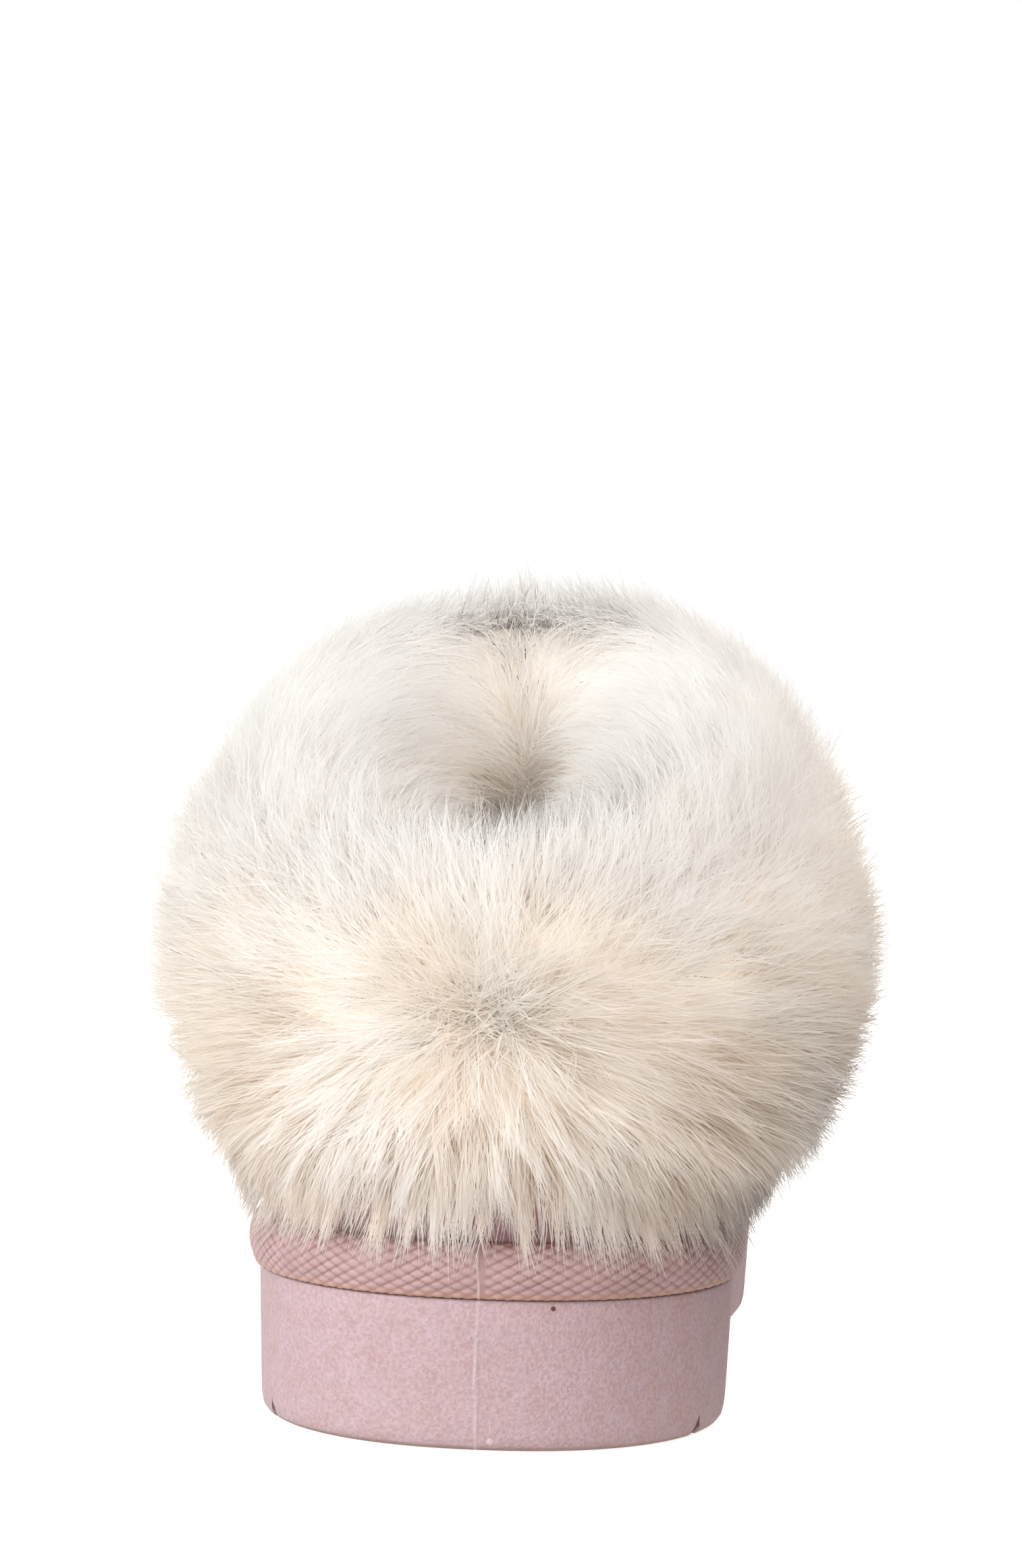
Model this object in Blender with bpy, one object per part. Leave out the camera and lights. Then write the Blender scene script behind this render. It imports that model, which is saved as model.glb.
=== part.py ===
"""Faux fur bootie: a right shoe on a moulded platform sole, with a deep fur cuff round its collar.

Frame: the origin is on the floor under the middle of the heel seat. +Y points to the toe, +X to the
outer (little toe) side and +Z up. Sizes are written in millimetres times MM, so they are in metres.

Every form comes from two tables. PLAN is the sole's outline, and LEVELS are the closed rings that
climb the last from the feather edge to the topline. A point on a ring is found by its turn: 0 at the
back of the heel, pi at the toe, and a quarter turn on the outer side.
"""

import math
from typing import NamedTuple

import bmesh
import bpy
import numpy as np

MM = 0.001

# Driving sizes.
SOLE_LENGTH = 258 * MM
HEEL_BACK = -38 * MM  # y of the platform wall's back edge
AROUND = 60  # points on every ring

# Sole unit.
RIM_INSET = 3.7 * MM  # from the wall's outline to the inside of the cup
CUP_FLOOR = 20 * MM
HEEL_DROP = 3 * MM  # how much thinner the platform is under the ball than under the heel
TOE_SPRING = 7 * MM
ARCH_RISE = 2.2 * MM
GROOVE_WIDTH = 1.8 * MM
GROOVE_DEPTH = 3 * MM
HEEL_GROOVES = (21 * MM, 42 * MM, 63 * MM)  # distances from the back of the heel
BALL_GROOVES = (148 * MM, 166 * MM, 184 * MM, 202 * MM, 220 * MM)

# Upper, insole and cuff.
GAP = 0.3 * MM  # between pieces that meet
UPPER_WALL = 2 * MM
UPPER_INSET = RIM_INSET + GAP
INSOLE_THICKNESS = 4.5 * MM
ANKLE_HALF = 31 * MM  # half width of the collar
CUFF_RIM_BACK = 2.0  # level of the cuff's lower edge at the heel
CUFF_RIM_FRONT = 8.1  # and over the instep
CUFF_RIM_TURNS = (math.radians(25), math.radians(135))  # where the edge climbs
CUFF_INSIDE_BACK = 7.0  # level that the cuff reaches down to inside the collar, at the heel
CUFF_INSIDE_FRONT = 8.7  # and at the instep


class Section(NamedTuple):
    """One section of the sole's outline: its distance from the heel's back, its middle and half width."""

    along: float
    centre: float
    half: float


class Level(NamedTuple):
    """One ring of the last: how far it starts and ends from the heel's back, its heights there, how much
    it follows the ankle instead of the foot (0 to 1), and how long its rounded ends are."""

    level: float
    back: float
    front: float
    back_height: float
    front_height: float
    ankle: float
    heel_round: float
    toe_round: float


class Wall(NamedTuple):
    """One step of a profile carried round the sole's outline: its height over the floor at the heel, its
    distance in from the outline, and how it bends: 0 follows the tread and 1 the footbed."""

    height: float
    inset: float
    follow: float


class Pile(NamedTuple):
    """Depth of fur at one place on the cuff, at the back, outer side, front and inner side, and how far it
    stands up from the surface's normal, in degrees. Place 0 is the lower edge, 1 the topline and 2 the
    edge inside the collar."""

    place: float
    back: float
    outer: float
    front: float
    inner: float
    lift: float


PLAN = (
    Section(0, 0.0, 38.0),
    Section(45, 0.0, 38.0),
    Section(85, -1.0, 36.5),
    Section(125, -4.0, 41.0),
    Section(160, -7.0, 46.5),
    Section(195, -9.5, 45.5),
    Section(230, -12.0, 41.0),
    Section(258, -14.0, 37.0),
)
PLAN_HEEL_ROUND = 40 * MM
PLAN_TOE_ROUND = 66 * MM
ROUND_POWER = 2.2

LEVELS = (
    Level(0, 4, 254, 20.3, 20.3, 0.00, 36, 62),
    Level(1, 4, 254, 34, 34, 0.00, 36, 62),
    Level(2, 3, 253, 43, 46, 0.02, 36, 66),
    Level(3, 3, 246, 49, 56, 0.07, 36, 74),
    Level(4, 4, 231, 54, 63, 0.16, 37, 84),
    Level(5, 5, 209, 59, 68, 0.28, 38, 92),
    Level(6, 6, 184, 63, 73, 0.42, 39, 92),
    Level(7, 7, 159, 68, 79, 0.58, 40, 84),
    Level(8, 8, 135, 73, 88, 0.74, 41, 72),
    Level(9, 9, 114, 79, 100, 0.88, 42, 58),
    Level(10, 10, 99, 86, 115, 1.00, 42, 47),
)
UPPER_STEPS = (0, 1, 1.5, 2, 2.5, 3, 3.5, 4, 4.5, 5, 5.5, 6, 6.5, 7, 7.5, 8, 8.5, 9, 9.5, 10)

SOLE_PROFILE = (
    Wall(0.0, 3.6, 0.0),
    Wall(0.35, 2.1, 0.0),
    Wall(1.3, 1.15, 0.0),
    Wall(3.2, 0.75, 0.0),
    Wall(13.0, 0.35, 0.5),
    Wall(23.5, 0.0, 1.0),
    Wall(24.0, 0.2, 1.0),
    Wall(24.6, -0.9, 1.0),
    Wall(26.2, -1.8, 1.0),
    Wall(28.2, -2.0, 1.0),
    Wall(30.2, -1.5, 1.0),
    Wall(31.5, -0.2, 1.0),
    Wall(32.0, 1.5, 1.0),
    Wall(31.7, 3.0, 1.0),
    Wall(30.8, RIM_INSET / MM, 1.0),
    Wall(CUP_FLOOR / MM, RIM_INSET / MM, 1.0),
)

FUR = (
    Pile(0.00, 10, 15, 11, 10, -64),
    Pile(0.12, 16, 26, 17, 16, -40),
    Pile(0.30, 20, 31, 21, 22, -20),
    Pile(0.50, 21, 30, 23, 28, -4),
    Pile(0.70, 20, 27, 24, 27, 8),
    Pile(0.88, 17, 22, 24, 20, 28),
    Pile(1.00, 14, 18, 21, 15, 54),
    Pile(1.06, 13, 15, 19, 13, 90),
    Pile(1.12, 13, 15, 18, 14, 50),
    Pile(1.45, 13, 16, 17, 15, 8),
    Pile(1.80, 9, 12, 12, 12, -16),
    Pile(2.00, 4, 5, 5, 5, -40),
)
CREST_PLACES = 0.12  # places of the fur table between the topline's outside and its inside
CUFF_CORE_STEPS = 6  # rings that close the cuff through the upper's wall
NUDGE = 0.05  # part of a level over which the surface's slope is taken


class Finish(NamedTuple):
    """Plain colour, roughness and metallic value of a material."""

    colour: tuple[float, float, float]
    roughness: float
    metallic: float


MOULDED_PINK = Finish((0.66, 0.47, 0.49), 0.75, 0.0)
PINK_SUEDE = Finish((0.60, 0.40, 0.41), 0.95, 0.0)
CREAM_FUR = Finish((0.88, 0.83, 0.77), 0.95, 0.0)
CREAM_LINING = Finish((0.84, 0.76, 0.68), 0.95, 0.0)


def clear_scene() -> None:
    """Removes every object that is already in the file."""
    for old in list(bpy.data.objects):
        bpy.data.objects.remove(old, do_unlink=True)


def column(rows: tuple, name: str, at: np.ndarray) -> np.ndarray:
    """Reads a table's column between its rows.

    The curve is a cubic piece between rows. Its slope at a row is the harmonic mean of the slopes on
    both sides, or flat where they disagree in sign, so it never overshoots a row.

    Args:
        rows: the table, whose first column rises.
        name: the column to read.
        at: places on the first column.

    Returns:
        The column's value at each place.
    """
    place = np.array([row[0] for row in rows], float)
    value = np.array([getattr(row, name) for row in rows], float)
    step = np.diff(place)
    rise = np.diff(value) / step
    before, after = rise[:-1], rise[1:]
    agree = before * after > 0
    mean = 2 * before * after / np.where(agree, before + after, 1)
    slope = np.concatenate([rise[:1], np.where(agree, mean, 0), rise[-1:]])
    at = np.clip(at, place[0], place[-1])
    piece = np.clip(np.searchsorted(place, at, side="right") - 1, 0, len(step) - 1)
    part = (at - place[piece]) / step[piece]
    start = (1 + 2 * part) * value[piece] + part * step[piece] * slope[piece]
    end = (3 - 2 * part) * value[piece + 1] + (part - 1) * step[piece] * slope[piece + 1]
    return (1 - part) ** 2 * start + part**2 * end


def ease(start: float, end: float, at: np.ndarray) -> np.ndarray:
    """A smooth step from 0 at start to 1 at end: three times the square less twice the cube."""
    part = np.clip((at - start) / (end - start), 0, 1)
    return part * part * (3 - 2 * part)


def turns() -> np.ndarray:
    """The turn of each point on a ring, from the back of the heel round the outer side and the toe."""
    return np.arange(AROUND) * (2 * math.pi / AROUND)


def rounding(along: np.ndarray, back, front, heel_round, toe_round) -> np.ndarray:
    """How much of its full width a ring keeps: a superellipse quarter at each end, and 1 between."""
    heel = np.clip(1 - (along - back) / heel_round, 0, 1)
    toe = np.clip(1 - (front - along) / toe_round, 0, 1)
    return ((1 - heel**ROUND_POWER) * (1 - toe**ROUND_POWER)) ** (1 / ROUND_POWER)


def underside(y: np.ndarray) -> np.ndarray:
    """Height of the tread over the floor: flat under heel and ball, raised at the waist and the toe."""
    along = y - HEEL_BACK
    waist = ease(78 * MM, 102 * MM, along) * (1 - ease(112 * MM, 138 * MM, along))
    toe = np.clip((along - 190 * MM) / (SOLE_LENGTH - 190 * MM), 0, 1)
    return ARCH_RISE * waist + TOE_SPRING * toe**2


def footbed_lift(y: np.ndarray) -> np.ndarray:
    """How far everything over the wall is moved up: down towards the ball and up again at the toe."""
    along = y - HEEL_BACK
    toe = np.clip((along - 180 * MM) / (SOLE_LENGTH - 180 * MM), 0, 1)
    return TOE_SPRING * toe**2 - HEEL_DROP * ease(55 * MM, 160 * MM, along)


def sole_ring(step: Wall) -> np.ndarray:
    """A ring of the sole or insole: the outline drawn in, at a height that bends with tread or footbed."""
    turn = turns()
    inset = step.inset * MM
    back, front = inset, SOLE_LENGTH - inset
    along = back + (front - back) * (1 - np.cos(turn)) / 2
    half = column(PLAN, "half", along / MM) * MM - inset
    width = rounding(along, back, front, PLAN_HEEL_ROUND - inset, PLAN_TOE_ROUND - inset)
    x = column(PLAN, "centre", along / MM) * MM + np.sign(np.sin(turn).round(9)) * half * width
    y = HEEL_BACK + along
    z = step.height * MM + (1 - step.follow) * underside(y) + step.follow * footbed_lift(y)
    return np.stack([x, y, z], axis=1)


def last_ring(level: np.ndarray) -> np.ndarray:
    """A ring of the upper's outside.

    Args:
        level: the level of each of the ring's points, so that a ring may climb as it goes round.

    Returns:
        The points, one row each.
    """
    turn = turns()

    def read(name: str) -> np.ndarray:
        return column(LEVELS, name, level)

    back, front = read("back") * MM, read("front") * MM
    part = (1 - np.cos(turn)) / 2
    along = back + (front - back) * part
    ankle = read("ankle")
    foot_half = column(PLAN, "half", along / MM) * MM - UPPER_INSET
    half = foot_half * (1 - ankle) + ANKLE_HALF * ankle
    width = rounding(along, back, front, read("heel_round") * MM, read("toe_round") * MM)
    centre = column(PLAN, "centre", along / MM) * MM * (1 - ankle)
    x = centre + np.sign(np.sin(turn).round(9)) * half * width
    y = HEEL_BACK + along
    height = read("back_height") + (read("front_height") - read("back_height")) * part
    return np.stack([x, y, height * MM + footbed_lift(y)], axis=1)


def up_the_wall(level: np.ndarray) -> np.ndarray:
    """The way up the last's surface at each point of a ring, of unit length."""
    up_it = last_ring(np.minimum(level + NUDGE, 10)) - last_ring(np.maximum(level - NUDGE, 0))
    return up_it / np.linalg.norm(up_it, axis=1, keepdims=True)


def outward(level: np.ndarray) -> np.ndarray:
    """The last's outward normal at each point of a ring: along the ring crossed with up the wall."""
    ring = last_ring(level)
    round_it = np.roll(ring, -1, axis=0) - np.roll(ring, 1, axis=0)
    normal = np.cross(round_it, up_the_wall(level))
    return normal / np.linalg.norm(normal, axis=1, keepdims=True)


def ladder(first: int, count: int) -> list[tuple[int, ...]]:
    """Rungs across a ring, from each point to the one opposite it, as a lid that bends only along Y."""
    rungs = [(first, first + 1, first + count - 1)]
    steps = range(1, count // 2 - 1)
    rungs += [(first + i, first + i + 1, first + count - i - 1, first + count - i) for i in steps]
    middle = first + count // 2
    return rungs + [(middle - 1, middle, middle + 1)]


def band_faces(lower: int, upper: int, count: int) -> list[tuple[int, ...]]:
    """The faces between two rings of count points that start at these two indices."""
    after = [(i + 1) % count for i in range(count)]
    return [(lower + i, lower + after[i], upper + after[i], upper + i) for i in range(count)]


def add_piece(name: str, rings: list[np.ndarray], finish: Finish, lids: bool) -> bpy.types.Object:
    """Joins rings into one closed solid with its own material.

    Args:
        name: the piece's name.
        rings: the rings in order, each with the same number of points.
        finish: the material's colour, roughness and metallic value.
        lids: True to close the first and last ring with lids, False to join the last to the first.

    Returns:
        The new object.
    """
    count = len(rings[0])
    faces: list[tuple[int, ...]] = []
    for i in range(len(rings) - 1):
        faces += band_faces(i * count, (i + 1) * count, count)
    last = (len(rings) - 1) * count
    if lids:
        faces += ladder(0, count) + ladder(last, count)
    else:
        faces += band_faces(last, 0, count)
    mesh = bpy.data.meshes.new(name)
    mesh.from_pydata(np.concatenate(rings).tolist(), [], faces)
    work = bmesh.new()
    work.from_mesh(mesh)
    bmesh.ops.recalc_face_normals(work, faces=work.faces)
    if work.calc_volume(signed=True) < 0:
        bmesh.ops.reverse_faces(work, faces=work.faces)
    bmesh.ops.triangulate(work, faces=work.faces)
    work.to_mesh(mesh)
    work.free()
    mesh.shade_smooth()
    piece = bpy.data.objects.new(name, mesh)
    bpy.context.scene.collection.objects.link(piece)
    piece.data.materials.append(make_material(name, finish))
    return piece


def make_material(name: str, finish: Finish) -> bpy.types.Material:
    """A plain Principled material."""
    material = bpy.data.materials.new(name)
    material.use_nodes = True
    shader = material.node_tree.nodes["Principled BSDF"]
    shader.inputs["Base Color"].default_value = (*finish.colour, 1.0)
    shader.inputs["Roughness"].default_value = finish.roughness
    shader.inputs["Metallic"].default_value = finish.metallic
    return material


def groove_cutter(along: float, index: int) -> bpy.types.Object:
    """A wedge that cuts one V groove across the tread, from 1 mm under it to the groove's depth."""
    y = HEEL_BACK + along
    floor = float(underside(np.array([y]))[0])
    reach, below = 60 * MM, 1 * MM
    half = GROOVE_WIDTH / 2 * (1 + below / GROOVE_DEPTH)
    feet = floor - below
    corners = []
    for x in (-reach, reach):
        corners += [(x, y - half, feet), (x, y + half, feet), (x, y, floor + GROOVE_DEPTH)]
    faces = [(0, 1, 2), (5, 4, 3), (0, 3, 4, 1), (1, 4, 5, 2), (2, 5, 3, 0)]
    mesh = bpy.data.meshes.new(f"groove_cutter_{index}")
    mesh.from_pydata(corners, [], faces)
    work = bmesh.new()
    work.from_mesh(mesh)
    bmesh.ops.recalc_face_normals(work, faces=work.faces)
    work.to_mesh(mesh)
    work.free()
    cutter = bpy.data.objects.new(mesh.name, mesh)
    bpy.context.scene.collection.objects.link(cutter)
    cutter.hide_render = True
    cutter.display_type = "WIRE"
    return cutter


def build_sole() -> bpy.types.Object:
    """The moulded unit: tread, wall, band and the cup that holds the upper, with its grooves cut."""
    rings = [sole_ring(step) for step in SOLE_PROFILE]
    sole = add_piece("sole", rings, MOULDED_PINK, lids=True)
    for index, along in enumerate(HEEL_GROOVES + BALL_GROOVES):
        cut = sole.modifiers.new(f"groove_{index}", "BOOLEAN")
        cut.operation = "DIFFERENCE"
        cut.solver = "EXACT"
        cut.object = groove_cutter(along, index)
    return sole


def shell_rings(outward_by: float, inward_by: float) -> list[np.ndarray]:
    """The rings of a shell round the last's surface: up one side of it and down the other.

    Args:
        outward_by: distance of the shell's outside from the last's surface.
        inward_by: distance of its inside from the same surface.

    Returns:
        The rings, which close on themselves.
    """
    outside, inside = [], []
    for step in UPPER_STEPS:
        level = np.full(AROUND, float(step))
        ring, normal = last_ring(level), outward(level)
        outside.append(ring + outward_by * normal)
        inside.append(ring - inward_by * normal)
    return outside + inside[::-1]


def build_upper() -> bpy.types.Object:
    """The shell: its outside is the last's surface and its inside lies one wall further in."""
    return add_piece("upper", shell_rings(0, UPPER_WALL), PINK_SUEDE, lids=False)


def build_insole() -> bpy.types.Object:
    """The footbed: a thick sock cut to the inside of the upper, with a soft hollow under the foot."""
    side = (UPPER_INSET + UPPER_WALL + GAP) / MM
    floor = (CUP_FLOOR + GAP) / MM
    top = floor + INSOLE_THICKNESS / MM
    profile = (
        Wall(floor, side + 1, 1.0),
        Wall(floor + 1, side, 1.0),
        Wall(top, side, 1.0),
        Wall(top + 0.6, side + 1.2, 1.0),
        Wall(top, side + 6, 1.0),
        Wall(top - 0.6, side + 14, 1.0),
    )
    return add_piece("insole", [sole_ring(step) for step in profile], CREAM_LINING, lids=True)


def pile_depth(place: float) -> np.ndarray:
    """Depth of fur round the collar: the four sides' values, shared out by squares of the turn."""
    turn = turns()
    shares = {
        "back": np.clip(np.cos(turn), 0, 1) ** 2,
        "outer": np.clip(np.sin(turn), 0, 1) ** 2,
        "front": np.clip(-np.cos(turn), 0, 1) ** 2,
        "inner": np.clip(-np.sin(turn), 0, 1) ** 2,
    }
    at = np.array([place])
    return sum(share * column(FUR, name, at) for name, share in shares.items()) * MM


def cuff_edge(back: float, front: float) -> np.ndarray:
    """The level of one of the cuff's edges: low round the heel, and climbing over the instep."""
    turn = np.minimum(turns(), 2 * math.pi - turns())
    return back + (front - back) * ease(*CUFF_RIM_TURNS, turn)


def fur_ring(row: Pile) -> np.ndarray:
    """The fur's surface over one place of the cuff: its pile's depth away, lifted or drooping."""
    rim = cuff_edge(CUFF_RIM_BACK, CUFF_RIM_FRONT)
    inner_edge = cuff_edge(CUFF_INSIDE_BACK, CUFF_INSIDE_FRONT)
    crossed = min(max((row.place - 1) / CREST_PLACES, 0), 1)  # 0 outside the topline, 1 inside it
    inside_part = max(row.place - 1 - CREST_PLACES, 0) / (1 - CREST_PLACES)
    outer_level = rim + (10 - rim) * min(row.place, 1)
    inner_level = 10 + (inner_edge - 10) * inside_part
    out_way, in_way = outward(outer_level), -outward(inner_level)
    outside = last_ring(outer_level)
    inside = last_ring(inner_level) + UPPER_WALL * in_way
    up_way = up_the_wall(outer_level) * (1 - crossed) + up_the_wall(inner_level) * crossed
    lift = math.radians(row.lift)
    way = (out_way * (1 - crossed) + in_way * crossed) * math.cos(lift) + up_way * math.sin(lift)
    way /= np.linalg.norm(way, axis=1, keepdims=True)
    return outside * (1 - crossed) + inside * crossed + pile_depth(row.place)[:, None] * way


def build_cuff() -> bpy.types.Object:
    """The fur cuff: the fur's surface closed through the middle of the upper's wall, less the upper."""
    rim = cuff_edge(CUFF_RIM_BACK, CUFF_RIM_FRONT)
    inner_edge = cuff_edge(CUFF_INSIDE_BACK, CUFF_INSIDE_FRONT)
    surface = [fur_ring(row) for row in FUR]
    middle = []
    for share in np.linspace(0, 1, CUFF_CORE_STEPS):
        level = inner_edge + (rim - inner_edge) * share
        middle.append(last_ring(level) - UPPER_WALL / 2 * outward(level))
    cuff = add_piece("fur_cuff", surface + middle, CREAM_FUR, lids=False)
    cutter = add_piece("collar_cutter", shell_rings(GAP, UPPER_WALL + GAP), CREAM_FUR, lids=False)
    top = len(UPPER_STEPS) - 1
    for vertex in list(cutter.data.vertices)[top * AROUND : (top + 2) * AROUND]:
        vertex.co.z += GAP
    cutter.hide_render = True
    cutter.display_type = "WIRE"
    cut = cuff.modifiers.new("upper_cut", "BOOLEAN")
    cut.operation = "DIFFERENCE"
    cut.solver = "EXACT"
    cut.object = cutter
    return cuff


def main() -> None:
    """Builds the shoe from the floor up."""
    clear_scene()
    build_sole()
    build_insole()
    build_upper()
    build_cuff()


main()
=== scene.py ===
"""Looks of the faux fur bootie: moulded sole, scale band, suede upper, plush footbed and long fur cuff.

Everything is in metres in the shoe's own frame: the origin is on the floor under the middle of the heel
seat, +Y points to the toe, +X to the outer side and +Z up. A point on a ring round the shoe is found by
its turn: 0 at the back of the heel, a quarter turn on the outer side and pi at the toe.
"""

import logging
import math
from dataclasses import dataclass, field
from enum import Enum
from typing import Any, NamedTuple

import bpy
import numpy as np
from mathutils import Matrix


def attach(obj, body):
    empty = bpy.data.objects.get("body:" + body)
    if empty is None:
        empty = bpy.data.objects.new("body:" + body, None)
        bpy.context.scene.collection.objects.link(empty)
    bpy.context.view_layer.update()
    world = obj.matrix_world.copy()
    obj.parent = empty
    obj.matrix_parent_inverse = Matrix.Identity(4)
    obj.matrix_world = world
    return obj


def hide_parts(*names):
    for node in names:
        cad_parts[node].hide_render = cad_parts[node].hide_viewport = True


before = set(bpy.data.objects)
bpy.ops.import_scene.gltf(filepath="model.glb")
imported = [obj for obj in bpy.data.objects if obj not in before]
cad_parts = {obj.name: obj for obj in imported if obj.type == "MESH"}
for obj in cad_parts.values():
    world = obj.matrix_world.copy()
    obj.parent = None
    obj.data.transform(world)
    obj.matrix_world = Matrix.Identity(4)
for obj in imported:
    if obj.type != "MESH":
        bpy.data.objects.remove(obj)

MM = 0.001
FULL_TURN = 2 * math.pi
log = logging.getLogger("bootie")


# ---------------------------------------------------------------- small maths


def ease(start: float, end: float, at: np.ndarray) -> np.ndarray:
    """A smooth step from 0 at start to 1 at end: three times the square less twice the cube."""
    part = np.clip((at - start) / (end - start), 0, 1)
    return part * part * (3 - 2 * part)


def unit(vectors: np.ndarray) -> np.ndarray:
    """The same vectors at length one."""
    return vectors / np.maximum(np.linalg.norm(vectors, axis=-1, keepdims=True), 1e-12)


def bell(at: np.ndarray, middle: float, half: float) -> np.ndarray:
    """A soft bump of height 1: the exponential of minus the squared distance over half."""
    return np.exp(-(((at - middle) / half) ** 2))


def column(rows: tuple, name: str, at: np.ndarray) -> np.ndarray:
    """Reads a table's column between its rows.

    The curve is a cubic piece between rows whose slope at a row is the harmonic mean of the slopes on
    both sides, or flat where they disagree in sign, so it never overshoots a row.

    Args:
        rows: the table, whose first column rises.
        name: the column to read.
        at: places on the first column, in an array of any shape.

    Returns:
        The column's value at each place.
    """
    place = np.array([row[0] for row in rows], float)
    value = np.array([getattr(row, name) for row in rows], float)
    step = np.diff(place)
    rise = np.diff(value) / step
    before, after = rise[:-1], rise[1:]
    agree = before * after > 0
    mean = 2 * before * after / np.where(agree, before + after, 1)
    slope = np.concatenate([rise[:1], np.where(agree, mean, 0), rise[-1:]])
    at = np.clip(at, place[0], place[-1])
    piece = np.clip(np.searchsorted(place, at, side="right") - 1, 0, len(step) - 1)
    part = (at - place[piece]) / step[piece]
    start = (1 + 2 * part) * value[piece] + part * step[piece] * slope[piece]
    end = (3 - 2 * part) * value[piece + 1] + (part - 1) * step[piece] * slope[piece + 1]
    return (1 - part) ** 2 * start + part**2 * end


def waves(first: np.ndarray, second: np.ndarray, seed: int, count: int = 14) -> np.ndarray:
    """Smooth random hills between about -1 and 1: sine waves of random direction and phase, added up.

    Args:
        first: one coordinate, in radians for a hill about six units long.
        second: the other coordinate, of the same shape.
        seed: picks the hills.
        count: how many waves are added.

    Returns:
        The height at each point.
    """
    rng = np.random.default_rng(seed)
    total = np.zeros(np.broadcast(first, second).shape)
    for _ in range(count):
        angle, phase, pitch = rng.uniform(0, FULL_TURN), rng.uniform(0, FULL_TURN), rng.uniform(0.6, 1.6)
        total += np.sin(pitch * (first * math.cos(angle) + second * math.sin(angle)) + phase)
    return total * math.sqrt(2 / count) / 1.6  # the sum seldom passes 1 after this


# ---------------------------------------------------------------- mesh making


class Surface(NamedTuple):
    """Arrays of one mesh: its points, faces with four corners, faces with three, and a place on a flat map
    for each point."""

    points: np.ndarray
    quads: np.ndarray
    tris: np.ndarray
    chart: np.ndarray


def grid_quads(rows: int, columns: int, round_columns: bool, round_rows: bool = False) -> np.ndarray:
    """Corner indices of a grid's faces, row after row.

    Args:
        rows: how many rows of points the grid has.
        columns: how many points each row has.
        round_columns: True if the last column joins the first.
        round_rows: True if the last row joins the first.

    Returns:
        One row of four indices for each face.
    """
    row = np.arange(rows if round_rows else rows - 1)[:, None]
    col = np.arange(columns if round_columns else columns - 1)[None, :]
    above, after = (row + 1) % rows, (col + 1) % columns
    corners = (row * columns + col, row * columns + after, above * columns + after, above * columns + col)
    return np.stack(corners, axis=-1).reshape(-1, 4)


def grid_surface(points: np.ndarray, round_columns: bool, round_rows: bool = False) -> Surface:
    """A grid of points as a surface whose map runs along its columns and rows.

    Args:
        points: the grid's points, in rows.
        round_columns: True if the last column joins the first.
        round_rows: True if the last row joins the first.

    Returns:
        The surface.
    """
    rows, columns = points.shape[:2]
    across, up = np.meshgrid(np.arange(columns) / columns, np.arange(rows) / rows)
    chart = np.stack([across, up], axis=-1).reshape(-1, 2)
    quads = grid_quads(rows, columns, round_columns, round_rows)
    return Surface(points.reshape(-1, 3), quads, np.zeros((0, 3), int), chart)


def make_mesh(name: str, surface: Surface, chart_name: str = "Chart") -> bpy.types.Object:
    """Puts a surface into a mesh object with smooth faces and its flat map.

    Args:
        name: the object's name.
        surface: its arrays.
        chart_name: the name of its flat map.

    Returns:
        The new object, in the scene.
    """
    corners = np.concatenate([surface.quads.ravel(), surface.tris.ravel()]).astype(np.int32)
    four, three = len(surface.quads), len(surface.tris)
    starts = np.concatenate([np.arange(four) * 4, four * 4 + np.arange(three) * 3]).astype(np.int32)
    mesh = bpy.data.meshes.new(name)
    mesh.vertices.add(len(surface.points))
    mesh.vertices.foreach_set("co", surface.points.astype(np.float32).ravel())
    mesh.loops.add(len(corners))
    mesh.loops.foreach_set("vertex_index", corners)
    mesh.polygons.add(four + three)
    mesh.polygons.foreach_set("loop_start", starts)
    mesh.update(calc_edges=True)
    chart = mesh.uv_layers.new(name=chart_name)
    chart.data.foreach_set("uv", surface.chart[corners].astype(np.float32).ravel())
    mesh.shade_smooth()
    piece = bpy.data.objects.new(name, mesh)
    bpy.context.scene.collection.objects.link(piece)
    return piece


def add_value(piece: bpy.types.Object, name: str, values: np.ndarray) -> None:
    """Stores one number for each point under a name that a material can read."""
    stored = piece.data.attributes.new(name, "FLOAT", "POINT").data
    stored.foreach_set("value", values.astype(np.float32).ravel())


def facing_out(surface: Surface) -> Surface:
    """The same closed surface with its faces turned outwards.

    The sum of the triple products of its triangles' corners is six times the volume inside, and it is
    negative if the faces point inwards.

    Args:
        surface: a closed surface.

    Returns:
        The surface, turned round if it has to be.
    """
    quads, points = surface.quads, surface.points
    tris = np.concatenate([quads[:, [0, 1, 2]], quads[:, [0, 2, 3]], surface.tris])
    a, b, c = points[tris[:, 0]], points[tris[:, 1]], points[tris[:, 2]]
    if float(np.einsum("ij,ij->", a, np.cross(b, c))) >= 0:
        return surface
    return surface._replace(quads=surface.quads[:, ::-1], tris=surface.tris[:, ::-1])


def dress(piece: bpy.types.Object, slot: str, *materials: bpy.types.Material) -> bpy.types.Object:
    """Gives a piece its materials and its place on the shoe.

    Args:
        piece: the piece.
        slot: not used.
        materials: its materials in order.

    Returns:
        The same piece.
    """
    for material in materials:
        piece.data.materials.append(material)
    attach(piece, "root")
    log.info("%s: %d faces", piece.name, len(piece.data.polygons))
    return piece


# ---------------------------------------------------------------- finishes


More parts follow.
